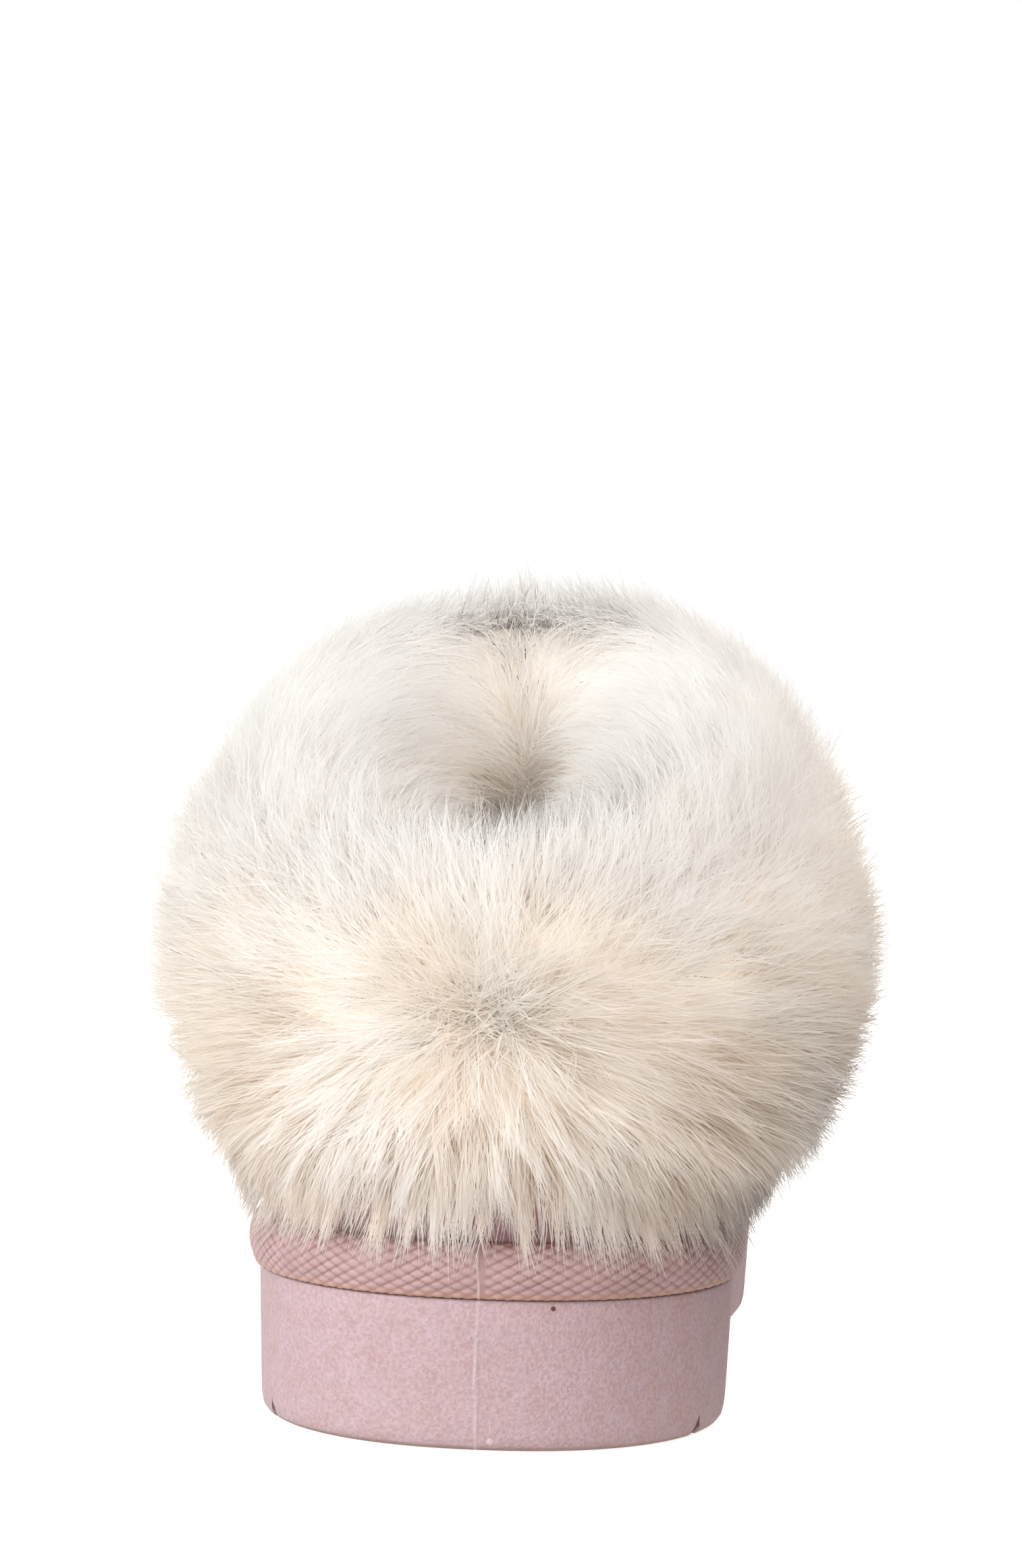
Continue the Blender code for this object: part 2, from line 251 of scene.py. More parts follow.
class Graph:
    """A material while its nodes are being laid out round one Principled shader."""

    def __init__(self, name: str) -> None:
        """Starts a new material of that name.

        Args:
            name: the material's name.
        """
        self.material = bpy.data.materials.new(name)
        self.material.use_nodes = True
        self.tree = self.material.node_tree
        self.shader = self.tree.nodes["Principled BSDF"]

    def add(self, kind: str, inputs: dict[Any, Any], **settings: Any) -> bpy.types.Node:
        """Adds one node.

        Args:
            kind: the node's type without its "ShaderNode" prefix.
            inputs: values, shades or output sockets by input name or index.
            settings: the node's own properties.

        Returns:
            The new node.
        """
        node = self.tree.nodes.new("ShaderNode" + kind)
        for name, value in settings.items():
            setattr(node, name, value)
        for socket, value in inputs.items():
            self.feed(node, socket, value)
        return node

    def feed(self, node: bpy.types.Node, socket: Any, value: Any) -> None:
        """Links a node's input to an output socket, or sets it to a number, a vector or a shade.

        Args:
            node: the node.
            socket: the input's name or index.
            value: what it is fed with.
        """
        if isinstance(value, bpy.types.NodeSocket):
            self.tree.links.new(value, node.inputs[socket])
        else:
            node.inputs[socket].default_value = value.full() if isinstance(value, Shade) else value

    def place(self) -> bpy.types.NodeSocket:
        """The shoe's own coordinates in metres."""
        return self.add("TexCoord", {}).outputs["Object"]

    def stored(self, name: str) -> bpy.types.NodeSocket:
        """A number stored on the mesh."""
        return self.add("Attribute", {}, attribute_name=name).outputs["Fac"]

    def math(self, operation: str, first: Any, second: Any = 0.0) -> bpy.types.NodeSocket:
        """One sum on two numbers."""
        return self.add("Math", {0: first, 1: second}, operation=operation).outputs[0]

    def times(self, first: Any, second: Any) -> bpy.types.NodeSocket:
        """One number times another."""
        return self.math("MULTIPLY", first, second)

    def noise(self, vector: Any, scale: float, detail: float = 3.0, rough: float = 0.55) -> Any:
        """Fractal noise of so many lumps to the metre."""
        inputs = {"Vector": vector, "Scale": scale, "Detail": detail, "Roughness": rough}
        return self.add("TexNoise", inputs).outputs["Fac"]

    def spread(self, value: Any, low: float, high: float, to_low: float = 0.0, to_high: float = 1.0) -> Any:
        """A number's range from low to high stretched to another range, and held at its ends."""
        inputs = {"Value": value, "From Min": low, "From Max": high, "To Min": to_low, "To Max": to_high}
        return self.add("MapRange", inputs).outputs["Result"]

    def fall(self, value: Any, low: float, high: float) -> Any:
        """1 where a number is under low, 0 where it is over high, and a straight line between."""
        return self.spread(value, low, high, 1.0, 0.0)

    def mix(self, share: Any, first: Any, second: Any, blend: str = "MIX") -> bpy.types.NodeSocket:
        """Two colours mixed by a share from 0 to 1."""
        made = self.add("Mix", {0: share, 6: first, 7: second}, data_type="RGBA", blend_type=blend)
        return made.outputs[2]

    def toned(self, colour: Any, tone: Any) -> bpy.types.NodeSocket:
        """A colour made lighter or darker by a number."""
        grey = self.add("CombineColor", {0: tone, 1: tone, 2: tone}).outputs[0]
        return self.mix(1.0, colour, grey, "MULTIPLY")

    def bump(self, height: Any, depth: float, strength: float = 1.0, under: Any = None) -> Any:
        """A bump of a height field, on top of another bump if one is given.

        Args:
            height: the height field.
            depth: how deep its full range is, in metres.
            strength: how much of it shows.
            under: another bump's output.

        Returns:
            The bent normal.
        """
        inputs: dict[Any, Any] = {"Height": height, "Distance": depth, "Strength": strength}
        if under is not None:
            inputs["Normal"] = under
        return self.add("Bump", inputs).outputs["Normal"]

    def near(self, point: tuple[float, float], radius: float) -> bpy.types.NodeSocket:
        """1 near a point of the heel's face, given by its x and z, and 0 elsewhere, with a soft edge.

        Args:
            point: the point's x and z.
            radius: the spot's radius.

        Returns:
            The share.
        """
        flat = self.add("VectorMath", {0: self.place(), 1: (1.0, 0.0, 1.0)}, operation="MULTIPLY").outputs[0]
        inputs = {0: flat, 1: (point[0], 0.0, point[1])}
        away = self.add("VectorMath", inputs, operation="DISTANCE").outputs["Value"]
        behind = self.spread(self.add("SeparateXYZ", {0: self.place()}).outputs[1], -30 * MM, -34 * MM)
        return self.times(self.fall(away, radius * 0.75, radius * 1.15), behind)

    def finish(
        self, colour: Any, roughness: Any, normal: Any = None, **constants: float
    ) -> bpy.types.Material:
        """Wires the shader and sets its constants.

        Args:
            colour: the base colour as a shade or a socket.
            roughness: the roughness or its socket.
            normal: a bump's output, if the finish has one.
            constants: the shader's other sockets by name, with _ for each space.

        Returns:
            The finished material.
        """
        self.feed(self.shader, "Base Color", colour)
        self.feed(self.shader, "Roughness", roughness)
        if normal is not None:
            self.feed(self.shader, "Normal", normal)
        for name, value in constants.items():
            self.shader.inputs[name.replace("_", " ")].default_value = value
        return self.material

    def glowing(
        self, colour: Any, roughness: float, strength: float, specular: float
    ) -> bpy.types.Material:
        """A finish that also gives off white light of a strength."""
        self.feed(self.shader, "Emission Color", Shade(1.0, 1.0, 1.0))
        return self.finish(colour, roughness, Emission_Strength=strength, Specular_IOR_Level=specular)

    def see_through(self, colour: Any, share: float) -> bpy.types.Material:
        """Lets a share of the light pass through a thin fibre in its own colour.

        Args:
            colour: the fibre's colour.
            share: how much of the light passes.

        Returns:
            The material.
        """
        passed = self.add("BsdfTranslucent", {"Color": colour}).outputs[0]
        both = self.add("MixShader", {0: share, 1: self.shader.outputs[0], 2: passed}).outputs[0]
        self.tree.links.new(both, self.tree.nodes["Material Output"].inputs["Surface"])
        return self.material


class Shade(NamedTuple):
    """A colour in linear light."""

    red: float
    green: float
    blue: float

    def full(self) -> tuple[float, float, float, float]:
        """The colour with its alpha."""
        return (self.red, self.green, self.blue, 1.0)


@dataclass(frozen=True)
class MouldedFoam:
    """Pale pink foam rubber as it leaves the mould: matt, finely grained and a little mottled."""

    main: Shade = Shade(0.525, 0.386, 0.428)
    warm: Shade = Shade(0.505, 0.350, 0.364)
    # pale: painted highlight on the parting line's flash, and the colour of the small pale fleck
    pale: Shade = Shade(0.78, 0.66, 0.68)
    # colour of the wall's lowest millimetre: darker along the bottom edge
    bottom_dark: Shade = Shade(0.30, 0.17, 0.14)
    # painted shade and dirt inside the tread's grooves and the V slots they cut in the wall's foot
    groove_dirt_and_shade: Shade = Shade(0.12, 0.07, 0.06)
    speck: Shade = Shade(0.09, 0.05, 0.045)
    grain_scale: float = 1600.0  # grains to the metre
    grain_depth: float = 0.32 * MM
    roughness: float = 0.72
    speck_place: tuple[float, float] = (11.4 * MM, 22.2 * MM)
    fleck_place: tuple[float, float] = (2.3 * MM, 1.7 * MM)

    def ripples(self, g: Graph) -> bpy.types.NodeSocket:
        """Flow ripples that slant up to the parting line at the heel: stretched noise inside a soft box.

        Args:
            g: the material's graph.

        Returns:
            The ripples' height.
        """
        place = g.place()
        x, y, z = g.add("SeparateXYZ", {0: place}).outputs
        behind = g.spread(y, -34 * MM, -36 * MM)
        beside = g.times(g.spread(x, -7 * MM, -1.5 * MM), g.fall(x, -0.9 * MM, -0.4 * MM))
        low = g.times(g.spread(z, 4 * MM, 9 * MM), g.fall(z, 16 * MM, 21 * MM))
        area = g.times(g.times(beside, low), behind)
        slant = {"Vector": place, "Rotation": (0.0, math.radians(50), 0.0), "Scale": (0.28, 1.0, 1.0)}
        return g.times(g.noise(g.add("Mapping", slant).outputs[0], 620.0, 1.0, 0.4), area)

    def material(self) -> bpy.types.Material:
        """The wall's and tread's material, with the flow ripples beside the parting line.

        Returns:
            The material.
        """
        g = Graph("moulded_foam")
        place = g.place()
        z = g.add("SeparateXYZ", {0: place}).outputs[2]
        mottle = g.spread(g.noise(place, 240.0, 4.0), 0.35, 0.65)
        grain = g.noise(place, self.grain_scale, 3.0, 0.62)
        speckle = g.spread(grain, 0.34, 0.66, 0.87, 1.13)
        colour = g.mix(mottle, self.main, self.warm)
        colour = g.toned(colour, speckle)
        # darker along the wall's lowest millimetre
        edge = g.times(g.spread(z, 0.25 * MM, 1.0 * MM, 0.85, 0.0), g.stored("wall_part"))
        colour = g.mix(edge, colour, self.bottom_dark)
        # painted shade and dirt in the grooves
        colour = g.mix(g.stored("groove"), colour, self.groove_dirt_and_shade)
        # painted highlight on the parting line's raised flash
        colour = g.mix(g.times(g.stored("flash"), 0.45), colour, self.pale)
        colour = g.mix(g.near(self.speck_place, 0.40 * MM), colour, self.speck)
        colour = g.mix(g.times(g.near(self.fleck_place, 0.5 * MM), 0.6), colour, self.pale)
        normal = g.bump(self.ripples(g), 0.30 * MM, 0.45, g.bump(grain, self.grain_depth, 0.8))
        return g.finish(colour, self.roughness, normal, Specular_IOR_Level=0.35)


@dataclass(frozen=True)
class ScaleFoam:
    """The same foam in scales: painted shade in the grooves and painted warm bounce light on the lower lip.
    """

    crown: Shade = Shade(0.512, 0.344, 0.350)
    # painted shade in the grooves between the scales
    groove: Shade = Shade(0.270, 0.150, 0.146)
    # painted warm bounce light along the lower lip
    lip: Shade = Shade(0.500, 0.285, 0.215)
    # painted highlight on the parting line's flash
    pale: Shade = Shade(0.78, 0.66, 0.68)
    # painted shade in the tuck where the band meets the wall
    crease: Shade = Shade(0.17, 0.085, 0.08)
    roughness: float = 0.55

    def material(self) -> bpy.types.Material:
        """Reads the relief and the height on the band that are stored on its mesh.

        Returns:
            The material.
        """
        g = Graph("scale_foam")
        place = g.place()
        # relief 0, in a groove, gets the painted shade and 1 the foam's own colour
        relief = g.spread(g.stored("relief"), 0.05, 0.6)
        colour = g.mix(relief, self.groove, self.crown)
        patches = g.spread(g.noise(place, 150.0, 3.0), 0.35, 0.7, 0.0, 0.35)
        colour = g.mix(patches, colour, self.groove)
        # painted warm bounce light along the lower lip
        colour = g.mix(g.spread(g.stored("lip"), 0.0, 1.0, 0.0, 0.80), colour, self.lip)
        # painted highlight on the flash
        colour = g.mix(g.times(g.stored("flash"), 0.6), colour, self.pale)
        # painted shade in the tuck over the wall
        colour = g.mix(g.times(g.stored("tuck"), 0.75), colour, self.crease)
        normal = g.bump(g.noise(place, 2600.0, 2.0), 0.06 * MM, 0.5)
        return g.finish(colour, self.roughness, normal, Specular_IOR_Level=0.42)


@dataclass(frozen=True)
class Suede:
    """Dusty pink suede: a short nap brushed in patches, deeper in colour in the creases as painted shade."""

    light: Shade = Shade(0.540, 0.365, 0.385)
    deep: Shade = Shade(0.420, 0.260, 0.275)
    # painted shade for the creases, the seam, the lap's edge and the lower edge
    fold_shade: Shade = Shade(0.33, 0.18, 0.19)
    roughness: float = 0.95
    nap_scale: float = 1400.0

    def material(self) -> bpy.types.Material:
        """Nap patches, fine fibres and the painted shade that the mesh stores for seams and creases.

        Returns:
            The material.
        """
        g = Graph("pink_suede")
        place = g.place()
        brushed = g.spread(g.noise(place, 42.0, 4.0, 0.62), 0.36, 0.64)
        fine = g.spread(g.noise(place, 520.0, 4.0, 0.7), 0.3, 0.7)
        share = g.math("ADD", g.times(brushed, 0.6), g.times(fine, 0.4))
        colour = g.mix(share, self.deep, self.light)
        # painted shade where the mesh stores it
        colour = g.mix(g.stored("crease"), colour, self.fold_shade)
        normal = g.bump(g.noise(place, self.nap_scale, 4.0, 0.7), 0.22 * MM, 0.5)
        normal = g.bump(g.noise(place, 260.0, 3.0, 0.6), 0.30 * MM, 0.35, normal)
        constants = {"Sheen_Weight": 0.35, "Sheen_Roughness": 0.45, "Specular_IOR_Level": 0.12}
        return g.finish(colour, self.roughness, normal, **constants)


@dataclass(frozen=True)
class Thread:
    """Waxed sewing thread, a shade lighter than the suede, with painted shade between its plies."""

    colour: Shade = Shade(0.62, 0.40, 0.42)
    # painted shade between the plies
    between: Shade = Shade(0.4, 0.24, 0.25)

    def material(self) -> bpy.types.Material:
        """Twisted plies as a fine wave, darker between them as painted shade.

        Returns:
            The material.
        """
        g = Graph("sewing_thread")
        place = g.place()
        plies = g.add("TexWave", {"Vector": place, "Scale": 900.0, "Distortion": 1.5}).outputs["Fac"]
        # painted shade between the plies
        colour = g.mix(g.spread(plies, 0.0, 1.0, 0.0, 0.3), self.colour, self.between)
        return g.finish(colour, 0.6, g.bump(plies, 0.08 * MM, 0.5))


@dataclass(frozen=True)
class Plush:
    """Short cream plush on the lining and the footbed: small curls with painted beige shade between them."""

    light: Shade = Shade(0.86, 0.79, 0.70)
    # painted shade in the hollows between the curls
    deep: Shade = Shade(0.62, 0.51, 0.40)

    def material(self) -> bpy.types.Material:
        """Two sizes of curl, in colour and in bump, with painted shade in the hollows between curls.

        Returns:
            The material.
        """
        g = Graph("cream_plush")
        place = g.place()
        curls = g.noise(place, 430.0, 3.0, 0.6)
        # the curls' low parts, their hollows, get the painted shade
        colour = g.mix(g.spread(curls, 0.34, 0.62), self.deep, self.light)
        normal = g.bump(curls, 0.9 * MM, 0.7)
        normal = g.bump(g.noise(place, 1700.0, 3.0, 0.7), 0.25 * MM, 0.6, normal)
        constants = {"Sheen_Weight": 0.4, "Sheen_Roughness": 0.5, "Specular_IOR_Level": 0.1}
        return g.finish(colour, 0.95, normal, **constants)


@dataclass(frozen=True)
class FurFibre:
    """Cream faux fur: beige by the roots, partly as painted shade, nearly white at the tips, and each lock a
    little different.
    """

    # beige roots: partly the fibre's own colour, partly painted shade deep in the coat
    root: Shade = Shade(0.87, 0.78, 0.68)
    body: Shade = Shade(0.960, 0.945, 0.928)
    tip: Shade = Shade(0.980, 0.976, 0.972)
    # the fur's own beige patches, and painted warm shade low down and in the hollow inside the collar
    beige_and_shade: Shade = Shade(0.905, 0.835, 0.755)
    through: float = 0.62  # share of the light that passes through a fibre

    def material(self) -> bpy.types.Material:
        """Reads how far out along the fibre a point is, and the fibre's own tone, from its mesh.

        Returns:
            The material.
        """
        g = Graph("fur_fibre")
        out = g.stored("outness")
        low = g.spread(out, 0.0, 0.62)
        high = g.spread(out, 0.55, 1.0)
        # darker towards the roots: partly painted shade deep in the coat
        colour = g.mix(low, self.root, self.body)
        colour = g.mix(high, colour, self.tip)
        # beige patches and painted warm shade, less of it towards the tips
        sandy = g.times(g.stored("beige_and_shade"), g.spread(out, 0.55, 1.0, 0.95, 0.50))
        colour = g.mix(sandy, colour, self.beige_and_shade)
        colour = g.toned(colour, g.stored("tone"))
        constants = {"Sheen_Weight": 0.15, "Sheen_Roughness": 0.4, "Specular_IOR_Level": 0.15}
        g.finish(colour, 0.8, **constants)
        return g.see_through(colour, self.through)


@dataclass(frozen=True)
class FurGround:
    """The dense fur under the long fibres, as a soft streaked surface."""

    deep: Shade = Shade(0.89, 0.80, 0.70)
    light: Shade = Shade(0.955, 0.93, 0.895)

    def material(self) -> bpy.types.Material:
        """Streaks that run from root to tip: noise on the mesh's own map, drawn out along its rows.

        Returns:
            The material.
        """
        g = Graph("fur_ground")
        chart = g.add("UVMap", {}, uv_map="Chart").outputs["UV"]
        drawn = g.add("Mapping", {"Vector": chart, "Scale": (260.0, 30.0, 1.0)}).outputs[0]
        streaks = g.noise(drawn, 1.0, 4.0, 0.6)
        patches = g.noise(g.place(), 90.0, 3.0, 0.6)
        share = g.math("ADD", g.times(streaks, 0.6), g.times(patches, 0.4))
        colour = g.mix(g.spread(share, 0.36, 0.6), self.deep, self.light)
        normal = g.bump(streaks, 1.2 * MM, 0.6)
        return g.finish(colour, 0.95, normal, Sheen_Weight=0.2, Specular_IOR_Level=0.1)


# ---------------------------------------------------------------- the last


class Section(NamedTuple):
    """One section of the sole's outline, in millimetres: its distance from the heel's back, its middle and
    its half width."""

    along: float
    centre: float
    half: float


class Level(NamedTuple):
    """One ring of the last, in millimetres: how far it starts and ends from the heel's back, its heights
    there, how much it follows the ankle instead of the foot, and how long its rounded ends are."""

    level: float
    back: float
    front: float
    back_height: float
    front_height: float
    ankle: float
    heel_round: float
    toe_round: float


@dataclass(frozen=True)
class Last:
    """The form of the foot and the sole's outline, which every piece is drawn from."""

    length: float = 258 * MM
    heel_back: float = -38 * MM
    heel_drop: float = 3 * MM
    toe_spring: float = 7 * MM
    arch_rise: float = 2.2 * MM
    upper_inset: float = 4.0 * MM
    ankle_half: float = 31 * MM
    heel_round: float = 40 * MM
    toe_round: float = 66 * MM
    power: float = 2.2
    top: float = 10.0
    plan: tuple[Section, ...] = (
        Section(0, 0.0, 38.0),
        Section(45, 0.0, 38.0),
        Section(85, -1.0, 36.5),
        Section(125, -4.0, 41.0),
        Section(160, -7.0, 46.5),
        Section(195, -9.5, 45.5),
        Section(230, -12.0, 41.0),
        Section(258, -14.0, 37.0),
    )
    levels: tuple[Level, ...] = (
        Level(0, 4, 254, 20.3, 20.3, 0.00, 36, 62),
        Level(1, 4, 254, 34, 34, 0.00, 36, 62),
        Level(2, 3, 253, 43, 46, 0.02, 36, 66),
        Level(3, 3, 246, 49, 56, 0.07, 36, 74),
        Level(4, 4, 231, 54, 63, 0.16, 37, 84),
        Level(5, 5, 209, 59, 68, 0.28, 38, 92),
        Level(6, 6, 184, 63, 73, 0.42, 39, 92),
        Level(7, 7, 159, 68, 79, 0.58, 40, 84),
        Level(8, 8, 135, 73, 88, 0.74, 41, 72),
        Level(9, 9, 114, 79, 100, 0.88, 42, 58),
        Level(10, 10, 99, 86, 115, 1.00, 42, 47),
    )

    def rounding(self, along: np.ndarray, back: Any, front: Any, heel: Any, toe: Any) -> np.ndarray:
        """How much of its full width a ring keeps: a superellipse quarter at each end, and 1 between.

        Args:
            along: distances from the heel's back.
            back: where the ring starts.
            front: where it ends.
            heel: length of its rounded heel.
            toe: length of its rounded toe.

        Returns:
            The share of the width.
        """
        near_heel = np.clip(1 - (along - back) / heel, 0, 1)
        near_toe = np.clip(1 - (front - along) / toe, 0, 1)
        return ((1 - near_heel**self.power) * (1 - near_toe**self.power)) ** (1 / self.power)

    def tread(self, y: np.ndarray) -> np.ndarray:
        """Height of the tread: flat under heel and ball, raised at the waist and in a square at the toe.

        Args:
            y: the places.

        Returns:
            The heights.
        """
        along = y - self.heel_back
        waist = ease(78 * MM, 102 * MM, along) * (1 - ease(112 * MM, 138 * MM, along))
        toe = np.clip((along - 190 * MM) / (self.length - 190 * MM), 0, 1)
        return self.arch_rise * waist + self.toe_spring * toe**2

    def footbed(self, y: np.ndarray) -> np.ndarray:
        """How far everything over the wall moves: down towards the ball and up again at the toe.

        Args:
            y: the places.

        Returns:
            The moves upwards.
        """
        along = y - self.heel_back
        toe = np.clip((along - 180 * MM) / (self.length - 180 * MM), 0, 1)
        return self.toe_spring * toe**2 - self.heel_drop * ease(55 * MM, 160 * MM, along)

    def outline(self, turn: np.ndarray, inset: np.ndarray) -> tuple[np.ndarray, np.ndarray]:
        """The sole's outline drawn in by an inset.

        Args:
            turn: the turn of each point.
            inset: the inset at each point, in metres.

        Returns:
            The outline's x and y.
        """
        back, front = inset, self.length - inset
        along = back + (front - back) * (1 - np.cos(turn)) / 2
        half = column(self.plan, "half", along / MM) * MM - inset
        width = self.rounding(along, back, front, self.heel_round - inset, self.toe_round - inset)
        x = column(self.plan, "centre", along / MM) * MM + np.sign(np.sin(turn).round(9)) * half * width
        return x, self.heel_back + along

    def shell(self, level: np.ndarray, turn: np.ndarray) -> np.ndarray:
        """Points of the upper's outside for arrays of level and turn that fit together.

        Args:
            level: the levels.
            turn: the turns.

        Returns:
            The points.
        """
        level, turn = np.broadcast_arrays(level, turn)
        part = (1 - np.cos(turn)) / 2
        back, front = (column(self.levels, name, level) * MM for name in ("back", "front"))
        low, high = (column(self.levels, name, level) * MM for name in ("back_height", "front_height"))
        heel, toe = (column(self.levels, name, level) * MM for name in ("heel_round", "toe_round"))
        ankle = column(self.levels, "ankle", level)
        along = back + (front - back) * part
        foot = column(self.plan, "half", along / MM) * MM - self.upper_inset
        half = foot * (1 - ankle) + self.ankle_half * ankle
        centre = column(self.plan, "centre", along / MM) * MM * (1 - ankle)
        x = centre + np.sign(np.sin(turn).round(9)) * half * self.rounding(along, back, front, heel, toe)
        y = self.heel_back + along
        return np.stack([x, y, low + (high - low) * part + self.footbed(y)], axis=-1)

    def upward(self, level: np.ndarray, turn: np.ndarray) -> np.ndarray:
        """The way up the shell: a ring a little higher less one a little lower."""
        high, low = np.minimum(level + 0.05, self.top), np.maximum(level - 0.05, 0)
        return unit(self.shell(high, turn) - self.shell(low, turn))

    def outward(self, level: np.ndarray, turn: np.ndarray) -> np.ndarray:
        """The shell's outward normal: along the ring crossed with the way up.

        Args:
            level: the levels.
            turn: the turns.

        Returns:
            The normals.
        """
        step = 0.05
        round_it = self.shell(level, turn + step) - self.shell(level, turn - step)
        return unit(np.cross(round_it, self.upward(level, turn)))


# ---------------------------------------------------------------- sole


class Step(NamedTuple):
    """One step of the sole's profile, in millimetres: height, distance in from the outline, and how it
    bends: 0 follows the tread and 1 the footbed."""

    height: float
    inset: float
    follow: float


@dataclass
class SoleUnit:
    """The moulded sole: tread with its V grooves, platform wall, cup, parting line and scale band."""

    last: Last
    columns: int = 460
    tread_rows: int = 16
    groove_half: float = 0.9 * MM
    groove_depth: float = 3.0 * MM
    heel_grooves: tuple[float, ...] = (21 * MM, 42 * MM, 63 * MM)
    ball_grooves: tuple[float, ...] = (148 * MM, 166 * MM, 184 * MM, 202 * MM, 220 * MM)
    flash_half: float = 0.20 * MM  # half width of the parting line's raised flash
    flash_height: float = 0.30 * MM
    profile: tuple[Step, ...] = (
        Step(0.0, 2.9, 0.0),
        Step(0.12, 2.2, 0.0),
        Step(0.45, 1.6, 0.0),
        Step(1.1, 1.1, 0.0),
        Step(2.2, 0.85, 0.0),
        Step(3.4, 0.74, 0.02),
        Step(8.0, 0.55, 0.25),
        Step(13.0, 0.35, 0.5),
        Step(18.0, 0.17, 0.75),
        Step(22.8, 0.0, 1.0),
        Step(23.15, 0.12, 1.0),
        Step(23.3, 0.45, 1.0),
        Step(23.4, 1.6, 1.0),
        Step(29.6, 1.6, 1.0),
        Step(30.4, 2.2, 1.0),
        Step(30.4, 3.7, 1.0),
        Step(20.0, 3.7, 1.0),
    )
    first_cup_step: int = 9
    band_columns: int = 1230
    band_rows: int = 47
    scale_pitch: float = 3.1 * MM
    scale_rise: float = 1.62 * MM
    scale_depth: float = 0.34 * MM
    scale_power: float = 2.6  # how flat a scale is on top: 2 is a parabola, more is flatter
    girth_out: float = 1.9 * MM  # how far out from the outline the band's girth is taken
    band_profile: tuple[Step, ...] = (
        Step(24.9, 1.7, 1.0),
        Step(23.9, 0.9, 1.0),
        Step(23.5, 0.05, 1.0),
        Step(24.0, -0.6, 1.0),
        Step(25.0, -1.0, 1.0),
        Step(26.2, -1.38, 1.0),
        Step(27.6, -1.55, 1.0),
        Step(29.0, -1.45, 1.0),
        Step(30.3, -1.05, 1.0),
        Step(31.3, -0.3, 1.0),
        Step(31.85, 0.8, 1.0),
        Step(32.0, 2.0, 1.0),
        Step(31.8, 3.1, 1.0),
        Step(30.6, 3.75, 1.0),
        Step(27.5, 3.2, 1.0),
    )

    def grooved(self, y: np.ndarray) -> np.ndarray:
        """Height of the grooves' V over the tread at each y: the depth less the distance from the middle.

        Args:
            y: the places.

        Returns:
            The heights.
        """
        total = np.zeros_like(y)
        for along in self.heel_grooves + self.ball_grooves:
            away = np.abs(y - self.last.heel_back - along) / self.groove_half
            total = np.maximum(total, self.groove_depth * (1 - away))
        return total

    def wall_turns(self) -> np.ndarray:
        """Turns of the wall's columns: even ones, with more at each groove's edges and the parting line.

        Returns:
            The turns, rising from 0.
        """
        marks = [0.0, math.pi]
        for along in self.heel_grooves + self.ball_grooves:
            for share in (-1.05, -1, -0.66, -0.33, 0, 0.33, 0.66, 1, 1.05):
                middle = math.acos(1 - 2 * (along + share * self.groove_half) / self.last.length)
                marks += [middle, FULL_TURN - middle]
        near_line = np.array([0.3, 0.7, 1.0, 1.35, 2.2, 4.0]) * self.flash_half / (40 * MM) / 0.72
        marks += [*near_line, *(FULL_TURN - near_line)]
        even = np.linspace(0, FULL_TURN, self.columns, endpoint=False)
        gap = np.abs(even[:, None] - np.array(marks)[None, :]).min(axis=1)
        return np.sort(np.concatenate([even[gap > 0.0025], np.unique(np.array(marks).round(7))]))

    def flash(self, x: np.ndarray, y: np.ndarray, height: np.ndarray) -> np.ndarray:
        """How far the parting line's flash stands out: a narrow bell that wanders a little with height.

        Args:
            x: the points' x.
            y: their y.
            height: their heights on the profile.

        Returns:
            The distances outwards.
        """
        wander = 0.12 * MM * np.sin(height / (3.1 * MM)) + 0.08 * MM * np.sin(height / (1.3 * MM) + 1)
        ragged = 0.8 + 0.35 * np.sin(height / (0.9 * MM)) * np.sin(height / (2.3 * MM) + 2)
        at_heel = y < self.last.heel_back + 20 * MM
        toe_middle = self.last.plan[-1].centre * MM
        at_toe = y > self.last.heel_back + self.last.length - 20 * MM
        heel = bell(x - wander, 0.0, self.flash_half) * ragged * at_heel
        return self.flash_height * (heel + bell(x - wander, toe_middle, self.flash_half) * at_toe * 0.7)

    def body(self) -> Surface:
        """The closed solid under the band.

        Each column of the wall climbs the profile and starts on the groove's slope where a groove passes.
        The tread and the cup's floor are rows drawn straight across between the two sides.

        Returns:
            The closed surface.
        """
        turn = self.wall_turns()
        height = np.array([step.height for step in self.profile])[:, None] * MM
        inset = np.array([step.inset for step in self.profile])[:, None] * MM
        follow = np.array([step.follow for step in self.profile])[:, None]
        x, y = self.last.outline(turn[None, :], inset)
        rise = self.grooved(y[4:5])  # read where the wall is at its fullest, so that a groove stays upright
        outer = np.arange(len(self.profile))[:, None] < self.first_cup_step
        low = np.minimum(height + rise * (1 - height / (3.6 * MM)), 1)
        height = np.where(outer & (height < 3.5 * MM), low, height)
        outside = self.profile[: self.first_cup_step + 1]
        true_inset = np.interp(height, [s.height * MM for s in outside], [s.inset * MM for s in outside])
        inset = np.where(outer, true_inset, inset)
        out = self.flash(x, y, height) * outer * ease(0.5 * MM, 2 * MM, height)
        x, y = self.last.outline(turn[None, :], inset - out)
        z = height + (1 - follow) * self.last.tread(y) + follow * self.last.footbed(y)
        wall = np.stack([x, y, z], axis=-1)
        floor, bed = self.lid(turn, wall[0], True), self.lid(turn, wall[-1], False)
        return self.close(turn, wall, floor, bed)

